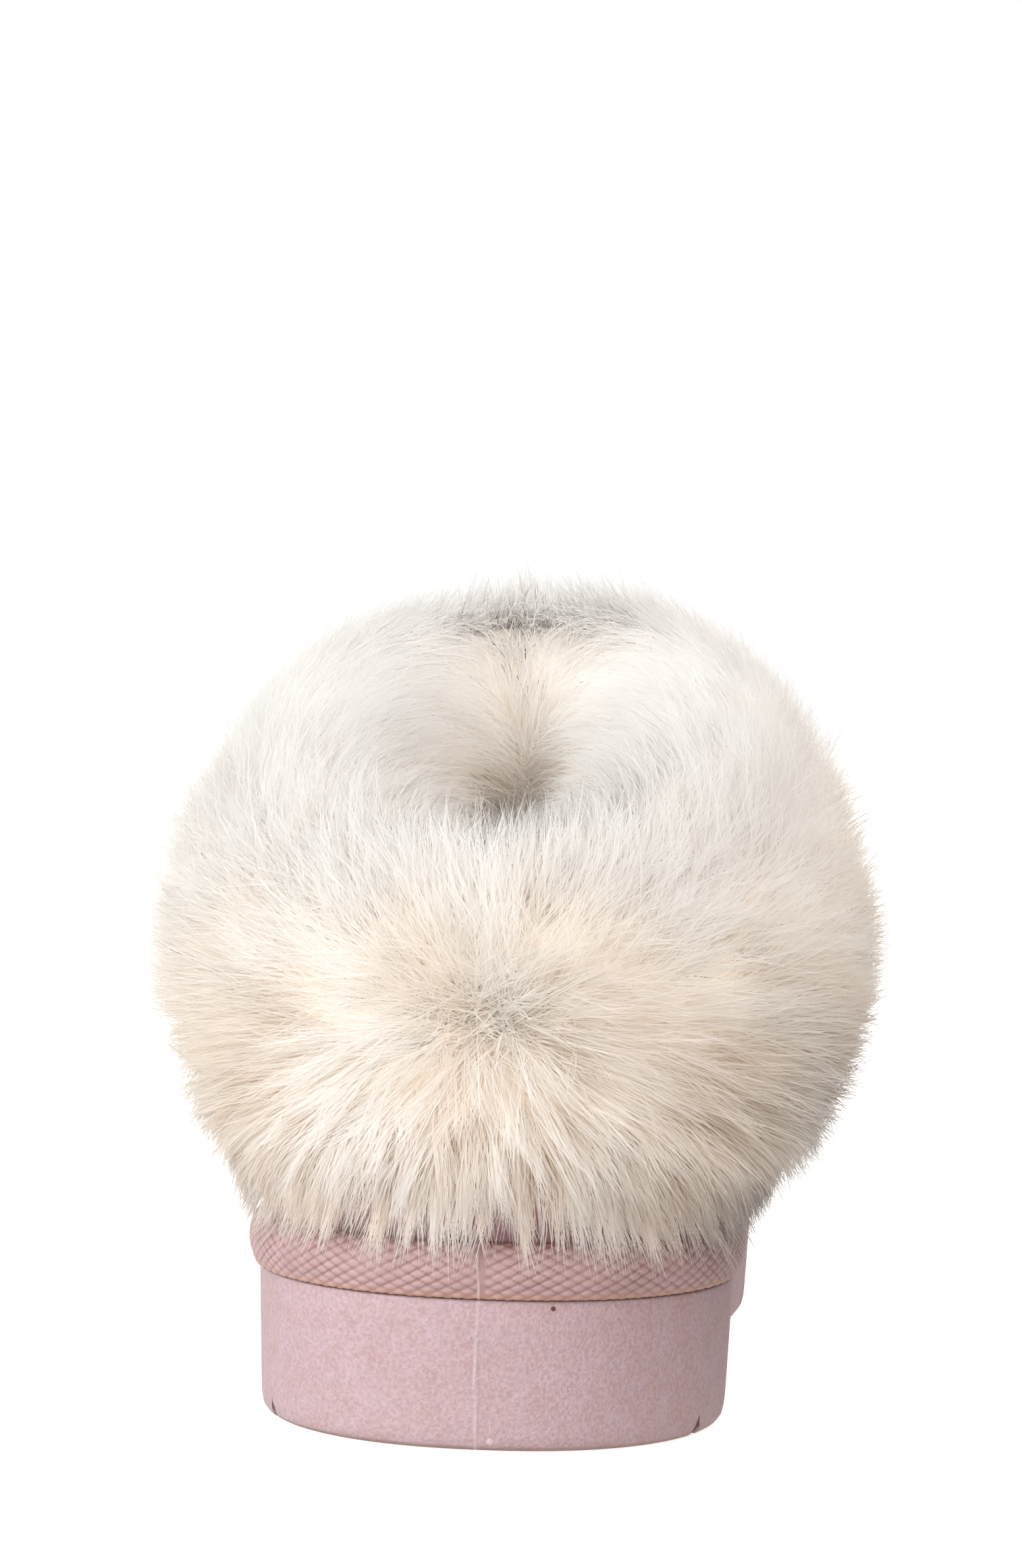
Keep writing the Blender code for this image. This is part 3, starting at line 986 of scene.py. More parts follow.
    def lid(self, turn: np.ndarray, ring: np.ndarray, grooved: bool) -> np.ndarray:
        """Rows from the heel to the toe, each straight across between two points of a ring.

        Args:
            turn: the ring's turns.
            ring: its points.
            grooved: True for the tread, whose rows lie on the grooves and the bars between them.

        Returns:
            The rows inside the ring, one for each pair of points, as an array of points.
        """
        half = turn[(turn > 1e-6) & (turn < math.pi - 1e-6)]
        share = np.linspace(0, 1, self.tread_rows + 1)[1:-1, None, None]
        right = np.stack([np.interp(half, turn, ring[:, axis]) for axis in range(3)], axis=-1)
        left = np.stack([np.interp(FULL_TURN - half, turn, ring[:, axis]) for axis in range(3)], axis=-1)
        rows = right * (1 - share) + left * share
        if grooved:
            along = rows[..., 1] - self.last.heel_back
            waist = ease(76 * MM, 90 * MM, along) * (1 - ease(122 * MM, 136 * MM, along))
            hollow = 0.9 * MM * waist * np.sin(np.pi * share[..., 0]) ** 0.5
            rows[..., 2] = self.last.tread(rows[..., 1]) + self.grooved(rows[..., 1]) + hollow
        return rows

    def close(self, turn: np.ndarray, wall: np.ndarray, floor: np.ndarray, bed: np.ndarray) -> Surface:
        """Joins the wall to the rows across the tread and the cup's floor.

        Args:
            turn: the wall's turns, which are alike on both sides.
            wall: the wall's points, in rows up the profile.
            floor: the tread's inner rows.
            bed: the cup floor's inner rows.

        Returns:
            The closed surface.
        """
        rows, columns = wall.shape[:2]
        surface = grid_surface(wall, True)
        points, quads, chart = [surface.points], [surface.quads], [surface.chart]
        tris: list[np.ndarray] = []
        right = np.flatnonzero((turn > 1e-6) & (turn < math.pi - 1e-6))
        left = columns - right
        heel, toe = 0, int(np.argmin(np.abs(turn - math.pi)))
        for base, lid, up in ((0, floor, False), ((rows - 1) * columns, bed, True)):
            first = sum(len(p) for p in points)
            inner = first + np.arange(lid.shape[0] * lid.shape[1]).reshape(lid.shape[:2])
            index = np.concatenate([base + right[None, :], inner, base + left[None, :]])
            faces = np.stack([index[:-1, :-1], index[1:, :-1], index[1:, 1:], index[:-1, 1:]], axis=-1)
            ends = [(base + heel, index[1:, 0], index[:-1, 0]), (base + toe, index[:-1, -1], index[1:, -1])]
            caps = [np.stack([np.full(len(a), tip), a, b], axis=-1) for tip, a, b in ends]
            faces = faces.reshape(-1, 4)
            quads.append(faces[:, ::-1] if up else faces)
            tris += [cap[:, ::-1] if up else cap for cap in caps]
            points.append(lid.reshape(-1, 3))
            chart.append(lid.reshape(-1, 3)[:, :2] * 2)
        return Surface(*(np.concatenate(part) for part in (points, quads, tris, chart)))

    def band(self) -> tuple[Surface, dict[str, np.ndarray]]:
        """The raised band, a closed ring with scales moulded on its outside.

        The profile is carried round the outline. The scales fade out at its lip and near its top, and
        beside the parting line, where a strip stays smooth under the flash.

        Returns:
            The surface, and for each point its relief from 0 in a groove to 1, how near the lip it is, how
            much of the flash it is and how deep it lies in the tuck over the wall.
        """
        turn = self.band_turns()
        tucked, under_lid = np.linspace(0, 2, 4)[:-1], [12.0, 13.0, 14.0]
        fine = np.concatenate([tucked, np.linspace(2, 11, self.band_rows), under_lid])
        height = self.smooth_profile(fine, [s.height * MM for s in self.band_profile])
        inset = self.smooth_profile(fine, [s.inset * MM for s in self.band_profile])
        climb = np.concatenate([[0], np.cumsum(np.hypot(np.diff(height), np.diff(inset)))])
        climb -= climb[len(tucked)]
        reach = climb[-len(under_lid) - 1]
        x, y = self.last.outline(turn, np.full_like(turn, -self.girth_out))
        steps = np.hypot(np.diff(x, append=x[:1]), np.diff(y, append=y[:1]))
        girth = steps.sum()
        along = np.concatenate([[0], np.cumsum(steps)[:-1]])
        fading = 1 - ease(reach - 2.6 * MM, reach - 0.6 * MM, climb)
        shown = ease(0.0, 0.5 * MM, climb)[:, None] * fading[:, None]
        beside = np.minimum(along, girth - along)[None, :]
        smooth_strip = 1 - 0.7 * bell(along[None, :], 0.7 * MM, 0.8 * MM) - 0.5 * bell(beside, 0, 0.5 * MM)
        relief = self.scales(along, girth, climb) * shown * np.clip(smooth_strip, 0, 1)
        base_x, base_y = self.last.outline(turn[None, :], inset[:, None])
        flash = self.flash(base_x, base_y, height[:, None])
        out = self.scale_depth * relief + 1.1 * flash * shown**0.3
        way_out, way_up = self.profile_normal(height, inset)
        x, y = self.last.outline(turn[None, :], inset[:, None] - out * way_out[:, None])
        z = height[:, None] + out * way_up[:, None] + self.last.footbed(y)
        whole = np.ones_like(relief)
        plain = 1 - np.clip(smooth_strip, 0, 1)
        values = {
            # relief, from 0 in a groove where shade is painted; the smooth strip keeps part of the foam's
            # colour
            "relief": np.maximum(relief, 0.45 * plain * shown),
            # nearness to the lip, where warm bounce light is painted
            "lip": (1 - ease(0.5 * MM, 1.9 * MM, np.maximum(climb, 0)))[:, None] * whole,
            # share of the flash, which the material paints with a highlight
            "flash": np.clip(flash / self.flash_height, 0, 1) * shown**0.3,
            # depth in the tuck over the wall, where shade is painted
            "tuck": (1 - ease(-0.35 * MM, 0.25 * MM, climb))[:, None] * (fine < 9)[:, None] * whole,
        }
        return facing_out(grid_surface(np.stack([x, y, z], axis=-1), True, True)), values

    def scales(self, along: np.ndarray, girth: float, climb: np.ndarray) -> np.ndarray:
        """Relief of the scales, from 0 in a groove to 1 at a scale's middle.

        A scale is a square turned on its corner: with a along the band in pitches and b up it in rises,
        p = a + b and q = a - b count the two families of grooves. The relief is one less a power of the
        distance from the scale's middle, in p times in q. A whole number of pitches goes round the band.

        Args:
            along: distances along the band.
            girth: the band's length all round.
            climb: distances up its profile.

        Returns:
            The relief at each distance up and along.
        """
        a = along[None, :] / (girth / round(girth / self.scale_pitch))
        b = climb[:, None] / self.scale_rise
        p, q = a + b, a - b
        over = np.abs(p - np.floor(p) - 0.5) * 2
        under = np.abs(q - np.floor(q) - 0.5) * 2
        return (1 - over**self.scale_power) * (1 - under**self.scale_power)

    def band_turns(self) -> np.ndarray:
        """Turns at even steps along the band, because even turns crowd together at heel and toe.

        Returns:
            The turns, rising from 0.
        """
        turn = np.linspace(0, FULL_TURN, 4001)
        x, y = self.last.outline(turn, np.full_like(turn, -self.girth_out))
        along = np.concatenate([[0], np.cumsum(np.hypot(np.diff(x), np.diff(y)))])
        even = np.linspace(0, along[-1], self.band_columns, endpoint=False)
        near = np.array([0.12, 0.24, 0.4]) * MM
        wanted = np.sort(np.concatenate([even, near, along[-1] - near]))
        return np.interp(wanted, along, turn)

    @staticmethod
    def smooth_profile(at: np.ndarray, values: list[float]) -> np.ndarray:
        """A Catmull-Rom curve through values at 0, 1, 2 and so on: it leaves each one along the line
        between its neighbours.

        Args:
            at: places along the values.
            values: the values.

        Returns:
            The curve at each place.
        """
        padded = np.array([values[0], *values, values[-1]])
        piece = np.clip(at.astype(int), 0, len(values) - 2)
        t = at - piece
        p0, p1, p2, p3 = (padded[piece + k] for k in range(4))
        cubic = (3 * p1 - p0 - 3 * p2 + p3) * t**3 + (2 * p0 - 5 * p1 + 4 * p2 - p3) * t**2
        return 0.5 * (2 * p1 + (p2 - p0) * t + cubic)

    @staticmethod
    def profile_normal(height: np.ndarray, inset: np.ndarray) -> tuple[np.ndarray, np.ndarray]:
        """The profile's outward normal as its share outwards and its share upwards.

        Args:
            height: the profile's heights.
            inset: its insets.

        Returns:
            The two shares at each step.
        """
        rise, run = np.gradient(height), np.gradient(-inset)
        length = np.maximum(np.hypot(rise, run), 1e-9)
        return rise / length, -run / length

    def build(self) -> None:
        """Makes the two pieces and dresses them."""
        body = facing_out(self.body())
        wall = make_mesh("platform_sole", body)
        x, y, height = body.points.T
        on_wall = (np.arange(len(x)) < len(self.wall_turns()) * len(self.profile)) * 1.0
        rise = self.grooved(y)
        # mask of the painted shade and dirt in the grooves: deeper in a groove, on the tread and the wall's
        # lowest rows
        shaded = np.clip(3 * rise / self.groove_depth, 0, 1) * (height < self.last.tread(y) + rise + 0.6 * MM)
        add_value(wall, "wall_part", on_wall)
        add_value(wall, "flash", np.clip(self.flash(x, y, height) / self.flash_height, 0, 1) * on_wall)
        add_value(wall, "groove", shaded)
        dress(wall, "sole", MouldedFoam().material())
        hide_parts("sole")
        surface, values = self.band()
        band = make_mesh("scale_band", surface)
        for name, value in values.items():
            add_value(band, name, value)
        dress(band, "sole", ScaleFoam().material())


# ---------------------------------------------------------------- insole and upper


@dataclass
class Footbed:
    """The cushioned insole: a sock with a soft hollow under the heel and the ball."""

    last: Last
    columns: int = 220
    side: float = 6.3 * MM  # inset of the edge
    middle: float = 30 * MM  # inset of the innermost ring
    rim_insets: tuple[float, ...] = (30 * MM, 12 * MM, 7.3 * MM, 6.3 * MM, 6.3 * MM, 7.0 * MM, 8.2 * MM)
    floor: float = 20.3 * MM
    thickness: float = 4.5 * MM
    crown: float = 0.6 * MM

    def build(self) -> None:
        """Rings from the underside's middle, round the edge and in to the top's middle."""
        turn = np.linspace(0, FULL_TURN, self.columns, endpoint=False)
        top = self.floor + self.thickness
        share = np.linspace(0, 1, 16)[1:]
        inner = self.side + 1.2 * MM + share * (self.middle - self.side)
        inset = np.concatenate([self.rim_insets, inner])
        rim = [self.floor] * 3 + [self.floor + 1 * MM, top - 1 * MM, top, top + self.crown]
        height = np.concatenate([rim, top + self.crown - 1.1 * MM * ease(0.0, 0.5, share)])
        x, y = self.last.outline(turn[None, :], inset[:, None])
        z = height[:, None] + self.last.footbed(y)
        z += np.where(inset[:, None] > 7.5 * MM, 0.12 * MM * waves(x / (2 * MM), y / (2 * MM), 5), 0)
        surface = grid_surface(np.stack([x, y, z], axis=-1), True)
        under, over = self.rungs(0), self.rungs((len(inset) - 1) * self.columns)
        quads = np.concatenate([surface.quads, under[0][:, ::-1], over[0]])
        tris = np.concatenate([under[1][:, ::-1], over[1]])
        bed = make_mesh("footbed", facing_out(surface._replace(quads=quads, tris=tris)))
        dress(bed, "insole", Plush().material())
        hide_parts("insole")

    def rungs(self, base: int) -> tuple[np.ndarray, np.ndarray]:
        """Faces straight across a ring that starts at an index: those of four corners and the two ends.

        Args:
            base: the ring's first index.

        Returns:
            The faces with four corners and those with three.
        """
        half = self.columns // 2
        near = base + np.arange(1, half)
        far = base + self.columns - np.arange(1, half)
        strip = np.stack([near[:-1], near[1:], far[1:], far[:-1]], axis=-1)
        return strip, np.array([[base, near[0], far[0]], [base + half, far[-1], near[-1]]])


class Crease(NamedTuple):
    """One fold in the suede: the level and the turn from the toe where its middle lies, its half width in
    levels, its half length in turn, its depth in millimetres and how far it slants with the turn."""

    level: float
    turn: float
    half_width: float
    half_length: float
    depth: float
    slant: float


@dataclass
class Upper:
    """The suede shell: vamp, lapped quarters with their stitches, heel seam, creases and plush inside."""

    last: Last
    rows: int = 110
    columns: int = 300
    wall: float = 2.0 * MM
    seam_turn: float = math.radians(104)  # where quarter laps over vamp, half way up
    seam_lean: float = 0.10  # how the lap leans towards the heel with each level
    lap: float = 0.85 * MM
    stitch_pitch: float = 3.1 * MM
    stitch_length: float = 2.3 * MM
    stitch_radius: float = 0.30 * MM
    stitch_backs: tuple[float, ...] = (0.045, 0.085)  # how far the rows lie behind the lap, in turn
    stitch_levels: tuple[float, float] = (1.45, 8.6)
    creases: tuple[Crease, ...] = (
        Crease(5.6, 0.10, 0.16, 0.85, 0.75, 0.30),
        Crease(6.5, -0.15, 0.15, 0.75, 0.60, -0.25),
        Crease(4.7, -0.05, 0.17, 0.60, 0.45, 0.20),
        Crease(3.2, 0.95, 0.30, 0.22, 0.50, 2.2),
        Crease(3.4, -1.05, 0.28, 0.20, 0.50, -2.4),
        Crease(2.6, 1.55, 0.22, 0.30, 0.40, 1.2),
        Crease(2.8, -1.60, 0.22, 0.30, 0.40, -1.4),
    )

    def lap_turn(self, level: np.ndarray) -> np.ndarray:
        """The turn at which the quarter's edge crosses each level."""
        return self.seam_turn - self.seam_lean * (level - 5) + 0.02 * (level - 5) ** 2

    def relief(self, level: np.ndarray, turn: np.ndarray) -> tuple[np.ndarray, np.ndarray]:
        """How far the suede stands out from the last, and how much painted shade it has there.

        The quarters are one lap higher than the vamp, behind a soft edge. The heel seam is a narrow ridge
        between two troughs. Each crease is a bell across its fold, with a low ridge on either side.

        Args:
            level: the level of each point.
            turn: its turn.

        Returns:
            The height in metres and a darkening from 0 to 1.
        """
        aside = np.where(turn > math.pi, FULL_TURN - turn, turn)
        behind = self.lap_turn(level) - aside
        height = self.lap * ease(-0.012, 0.012, behind) * ease(0.6, 1.4, level)
        # painted shadow on the vamp just in front of the quarter's lapped edge
        painted_shade = 0.75 * bell(behind, -0.018, 0.014) * ease(0.8, 1.2, level)
        height += 0.35 * MM * bell(aside, 0, 0.035) - 0.30 * MM * bell(aside, 0.07, 0.03)
        # painted shade in the troughs beside the heel seam
        painted_shade = np.maximum(painted_shade, 0.45 * bell(aside, 0.055, 0.02))
        from_toe = turn - math.pi
        for fold in self.creases:
            line = fold.level + fold.slant * (from_toe - fold.turn)
            reach = bell(from_toe, fold.turn, fold.half_length)
            trough = bell(level - line, 0, fold.half_width)
            banks = bell(level - line, 0, 2.4 * fold.half_width)
            height += fold.depth * MM * reach * (0.55 * banks - 1.25 * trough)
            # painted shade in each crease's trough
            painted_shade = np.maximum(painted_shade, 0.30 * reach * trough)
        height += 0.18 * MM * waves(turn * 9, level * 3.2, 3)
        # painted shade low on the upper, over the band and under the fur
        painted_shade = np.maximum(painted_shade, 0.35 * (1 - ease(1.05, 1.9, level)))
        return height, painted_shade

    def build(self) -> None:
        """Makes the shell and its stitches."""
        level = np.linspace(0, self.last.top, self.rows)[:, None]
        turn = np.linspace(0, FULL_TURN, self.columns, endpoint=False)[None, :]
        ring, normal = self.last.shell(level, turn), self.last.outward(level, turn)
        height, painted_shade = self.relief(level, turn)
        fade = ease(0.9, 1.6, level) * (1 - ease(9.2, 9.9, level) * 0.6)
        outside = ring + normal * (height * fade)[..., None]
        inside = (ring - self.wall * normal)[::-4]  # the lining is smooth, so it has fewer rows
        surface = facing_out(grid_surface(np.concatenate([outside, inside]), True, True))
        shell = make_mesh("suede_upper", surface)
        # the painted shade goes on the outside; the lining has none
        add_value(shell, "crease", np.concatenate([painted_shade * np.ones_like(height), np.zeros(inside.shape[:2])]))
        lined = np.arange(len(surface.quads)) >= (self.rows - 1) * self.columns
        dress(shell, "upper", Suede().material(), Plush().material())
        shell.data.polygons.foreach_set("material_index", lined.astype(np.int32))
        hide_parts("upper")
        self.stitch_rows()

    def stitch_row(self, outer: bool, back: float) -> tuple[np.ndarray, np.ndarray, np.ndarray]:
        """One row of stitches at even steps behind a lap.

        Args:
            outer: True for the lap on the outer side, False for its mirror image.
            back: how far the row lies behind the lap, in turn.

        Returns:
            The stitches' middles, the ways they run and the suede's normals there.
        """

        def turn_at(level: np.ndarray) -> np.ndarray:
            """The row's turn at a level."""
            turn = self.lap_turn(level) - back
            return turn if outer else FULL_TURN - turn

        level = np.linspace(*self.stitch_levels, 400)
        line = self.last.shell(level, turn_at(level))
        along = np.concatenate([[0], np.cumsum(np.linalg.norm(np.diff(line, axis=0), axis=1))])
        steps = np.arange(1, int(along[-1] / self.stitch_pitch)) * self.stitch_pitch
        at, step = np.interp(steps, along, level), 0.05
        middle, normal = self.last.shell(at, turn_at(at)), self.last.outward(at, turn_at(at))
        way = unit(self.last.shell(at + step, turn_at(at + step)) - middle)
        return middle + normal * (self.lap + 0.05 * MM), way, normal

    def stitch_rows(self) -> None:
        """Rows of lock stitches along both laps, each stitch a capsule that dips at its ends."""
        rows = [self.stitch_row(outer, back) for outer in (True, False) for back in self.stitch_backs]
        centre, way, normal = (np.concatenate(part) for part in zip(*rows))
        dress(make_mesh("side_stitches", self.capsules(centre, way, normal)), "upper", Thread().material())

    def capsules(self, centre: np.ndarray, way: np.ndarray, normal: np.ndarray) -> Surface:
        """Joined capsules: circles along each stitch whose radius follows a half circle at both ends.

        Args:
            centre: the stitches' middles.
            way: the ways they run.
            normal: the suede's normals there.

        Returns:
            The surface of them all.
        """
        rows, sides = 8, 8
        share = np.linspace(-1, 1, rows)
        radius = self.stitch_radius * np.sqrt(1 - np.clip(np.abs(share), 0, 0.995) ** 4)
        angle = np.linspace(0, FULL_TURN, sides, endpoint=False)
        across = np.cross(way, normal)
        ring = across[:, None, None] * np.cos(angle)[:, None] + normal[:, None, None] * np.sin(angle)[:, None]
        spine = centre[:, None, None] + way[:, None, None] * (share * self.stitch_length / 2)[:, None, None]
        dip = normal[:, None, None] * (-0.35 * MM * share**2)[:, None, None]
        points = spine + dip + ring * radius[:, None, None]
        quads = grid_quads(rows, sides, True)
        cap = np.array([[0, 1, 2, 3], [3, 4, 5, 6], [0, 3, 6, 7]])
        quads = np.concatenate([quads, cap[:, ::-1], (rows - 1) * sides + cap])
        count = len(centre)
        every = (np.arange(count)[:, None, None] * rows * sides + quads[None]).reshape(-1, 4)
        chart = np.zeros((count * rows * sides, 2))
        chart[:, 0] = np.repeat(np.arange(count) / count, rows * sides)
        chart[:, 1] = np.tile(np.repeat(share * 0.5 + 0.5, sides), count)
        return facing_out(Surface(points.reshape(-1, 3), every, np.zeros((0, 3), int), chart))


# ---------------------------------------------------------------- fur


class Pile(NamedTuple):
    """Depth of fur in millimetres at one place on the cuff, at the back, outer side, front and inner side,
    and how far it stands up from the surface's normal, in degrees. Place 0 is the lower edge, 1 the
    topline and 2 the edge inside the collar."""

    place: float
    back: float
    outer: float
    front: float
    inner: float
    lift: float


@dataclass
class Coat:
    """The room the fur fills, from the skin to the tips, over the whole cuff.

    Skin and tips are worked out once on a grid of places and turns and read between its points.
    """

    last: Last
    rows: int = 220
    columns: int = 240
    lowest: float = -0.4
    hang: float = 42 * MM  # how far a whole place of overhang below the lower edge reaches down
    flare: float = 5 * MM
    rim_back: float = 2.0
    rim_front: float = 8.1
    inside_back: float = 7.0
    inside_front: float = 8.7
    crest: float = 0.12
    wall: float = 2.0 * MM
    piles: tuple[Pile, ...] = (
        Pile(0.00, 12, 15, 11, 11, -54),
        Pile(0.12, 18, 24, 17, 15, -36),
        Pile(0.30, 20, 30, 21, 21, -20),
        Pile(0.50, 21, 29, 23, 28, -4),
        Pile(0.70, 20, 26, 24, 28, 8),
        Pile(0.88, 16, 20, 24, 21, 28),
        Pile(1.00, 12, 18, 23, 17, 54),
        Pile(1.06, 11, 18, 23, 17, 90),
        Pile(1.12, 14, 21, 24, 20, 50),
        Pile(1.45, 18, 24, 26, 22, 8),
        Pile(1.80, 13, 17, 17, 16, -16),
        Pile(2.00, 5, 6, 6, 6, -40),
    )
    skin: np.ndarray = field(init=False, repr=False)
    tips: np.ndarray = field(init=False, repr=False)
    places: np.ndarray = field(init=False, repr=False)

    def __post_init__(self) -> None:
        """Works out the grid."""
        outer = np.linspace(self.lowest, 1.0, self.rows // 2)
        over = np.linspace(1.0, 1 + self.crest, self.rows // 5)[1:]
        self.places = np.concatenate([outer, over, np.linspace(1 + self.crest, 2, 60)[1:]])
        turn = np.linspace(0, FULL_TURN, self.columns, endpoint=False)[None, :]
        self.skin, self.tips = self.layers(self.places[:, None], turn)

    def edge(self, turn: np.ndarray, back: float, front: float) -> np.ndarray:
        """The level of one of the cuff's edges: low round the heel and climbing over the instep."""
        aside = np.minimum(turn, FULL_TURN - turn)
        return back + (front - back) * ease(math.radians(25), math.radians(135), aside)

    def depth(self, place: np.ndarray, turn: np.ndarray) -> np.ndarray:
        """Depth of fur: the four sides' values, shared out by the squares of the turn's sine and cosine.

        Args:
            place: the places.
            turn: the turns.

        Returns:
            The depths in metres.
        """
        cosine, sine = np.cos(turn), np.sin(turn)
        shares = (("back", cosine), ("outer", sine), ("front", -cosine), ("inner", -sine))
        return sum(np.clip(s, 0, 1) ** 2 * column(self.piles, name, place) for name, s in shares) * MM

    def layers(self, place: np.ndarray, turn: np.ndarray) -> tuple[np.ndarray, np.ndarray]:
        """Skin and tips at arrays of place and turn.

        The fur leaves the skin along its normal, lifted towards the way up the wall by the table's angle.
        Below the lower edge both layers hang straight down and flare out a little.

        Args:
            place: the places.
            turn: the turns.

        Returns:
            The points on the skin and at the tips.
        """
        place, turn = np.broadcast_arrays(place, turn)
        below = np.maximum(-place, 0)[..., None]
        place = np.maximum(place, 0)
        rim = self.edge(turn, self.rim_back, self.rim_front)
        inner_rim = self.edge(turn, self.inside_back, self.inside_front)
        crossed = np.clip((place - 1) / self.crest, 0, 1)[..., None]
        outer_level = rim + (self.last.top - rim) * np.minimum(place, 1)
        inside_part = np.maximum(place - 1 - self.crest, 0) / (1 - self.crest)
        inner_level = self.last.top + (inner_rim - self.last.top) * inside_part
        out_way, in_way = self.last.outward(outer_level, turn), -self.last.outward(inner_level, turn)
        up_outer, up_inner = self.last.upward(outer_level, turn), self.last.upward(inner_level, turn)
        outside = self.last.shell(outer_level, turn)
        inside = self.last.shell(inner_level, turn) + self.wall * in_way
        lift = np.radians(column(self.piles, "lift", place))[..., None]
        across = out_way * (1 - crossed) + in_way * crossed
        way = unit(across * np.cos(lift) + (up_outer * (1 - crossed) + up_inner * crossed) * np.sin(lift))
        lumps = 1 + 0.045 * waves(turn * 7, place * 5.5, 21) * ease(0.0, 0.3, place)
        skin = outside * (1 - crossed) + inside * crossed
        tips = skin + (self.depth(place, turn) * lumps)[..., None] * way
        drop = below * (np.array([0, 0, -self.hang]) + out_way * self.flare)
        return skin + drop, tips + drop

    def at(self, place: np.ndarray, turn: np.ndarray, out: np.ndarray) -> np.ndarray:
        """Points in the coat, read from the grid between its four nearest points.

        Args:
            place: places, below 0 for the overhang.
            turn: turns.
            out: how far out each point is: 0 on the skin and 1 at the tips.

        Returns:
            The points.
        """
        row = np.interp(place, self.places, np.arange(len(self.places)))
        col = np.mod(turn, FULL_TURN) / FULL_TURN * self.columns
        low, left = np.clip(row.astype(int), 0, len(self.places) - 2), col.astype(int) % self.columns
        up, right = (row - low)[..., None], (col - col.astype(int))[..., None]
        after = (left + 1) % self.columns

        def read(layer: np.ndarray) -> np.ndarray:
            """One layer between its four points.

            Args:
                layer: the skin or the tips.

            Returns:
                Its points.
            """
            lower = layer[low, left] * (1 - right) + layer[low, after] * right
            upper = layer[low + 1, left] * (1 - right) + layer[low + 1, after] * right
            return lower * (1 - up) + upper * up

        skin, tips = read(self.skin), read(self.tips)
        return skin + np.asarray(out)[..., None] * (tips - skin)

    def ground_share(self, place: np.ndarray, turn: np.ndarray) -> np.ndarray:
        """How much of the coat's depth the ground fur fills: little at both edges and less at the crest."""
        crest = 1 - (0.40 + 0.06 * np.cos(turn)) * bell(place, 1.06, 0.20)
        return 0.10 + 0.65 * ease(-0.08, 0.34, place) * crest * (1 - 0.5 * ease(1.5, 2.0, place))


class CuffPart(Enum):
    """The sectors the long fur is grown in: each is one piece of the shoe."""

    HEEL = "heel"
    OUTER = "outer"
    FRONT = "front"
    INNER = "inner"


class Growth(NamedTuple):
    """How one sector grows: its first and last turn in degrees, its locks, and its fibres to a lock."""

    part: CuffPart
    start: float
    end: float
    locks: int
    fibres: int


class Locks(NamedTuple):
    """The locks of one sector: the places and turns of their tips, the places of their roots, the coat's
    outward ways at the tips, and the three controls of every fibre's curve."""

    place: np.ndarray
    turn: np.ndarray
    root_place: np.ndarray
    facing: np.ndarray
    controls: np.ndarray


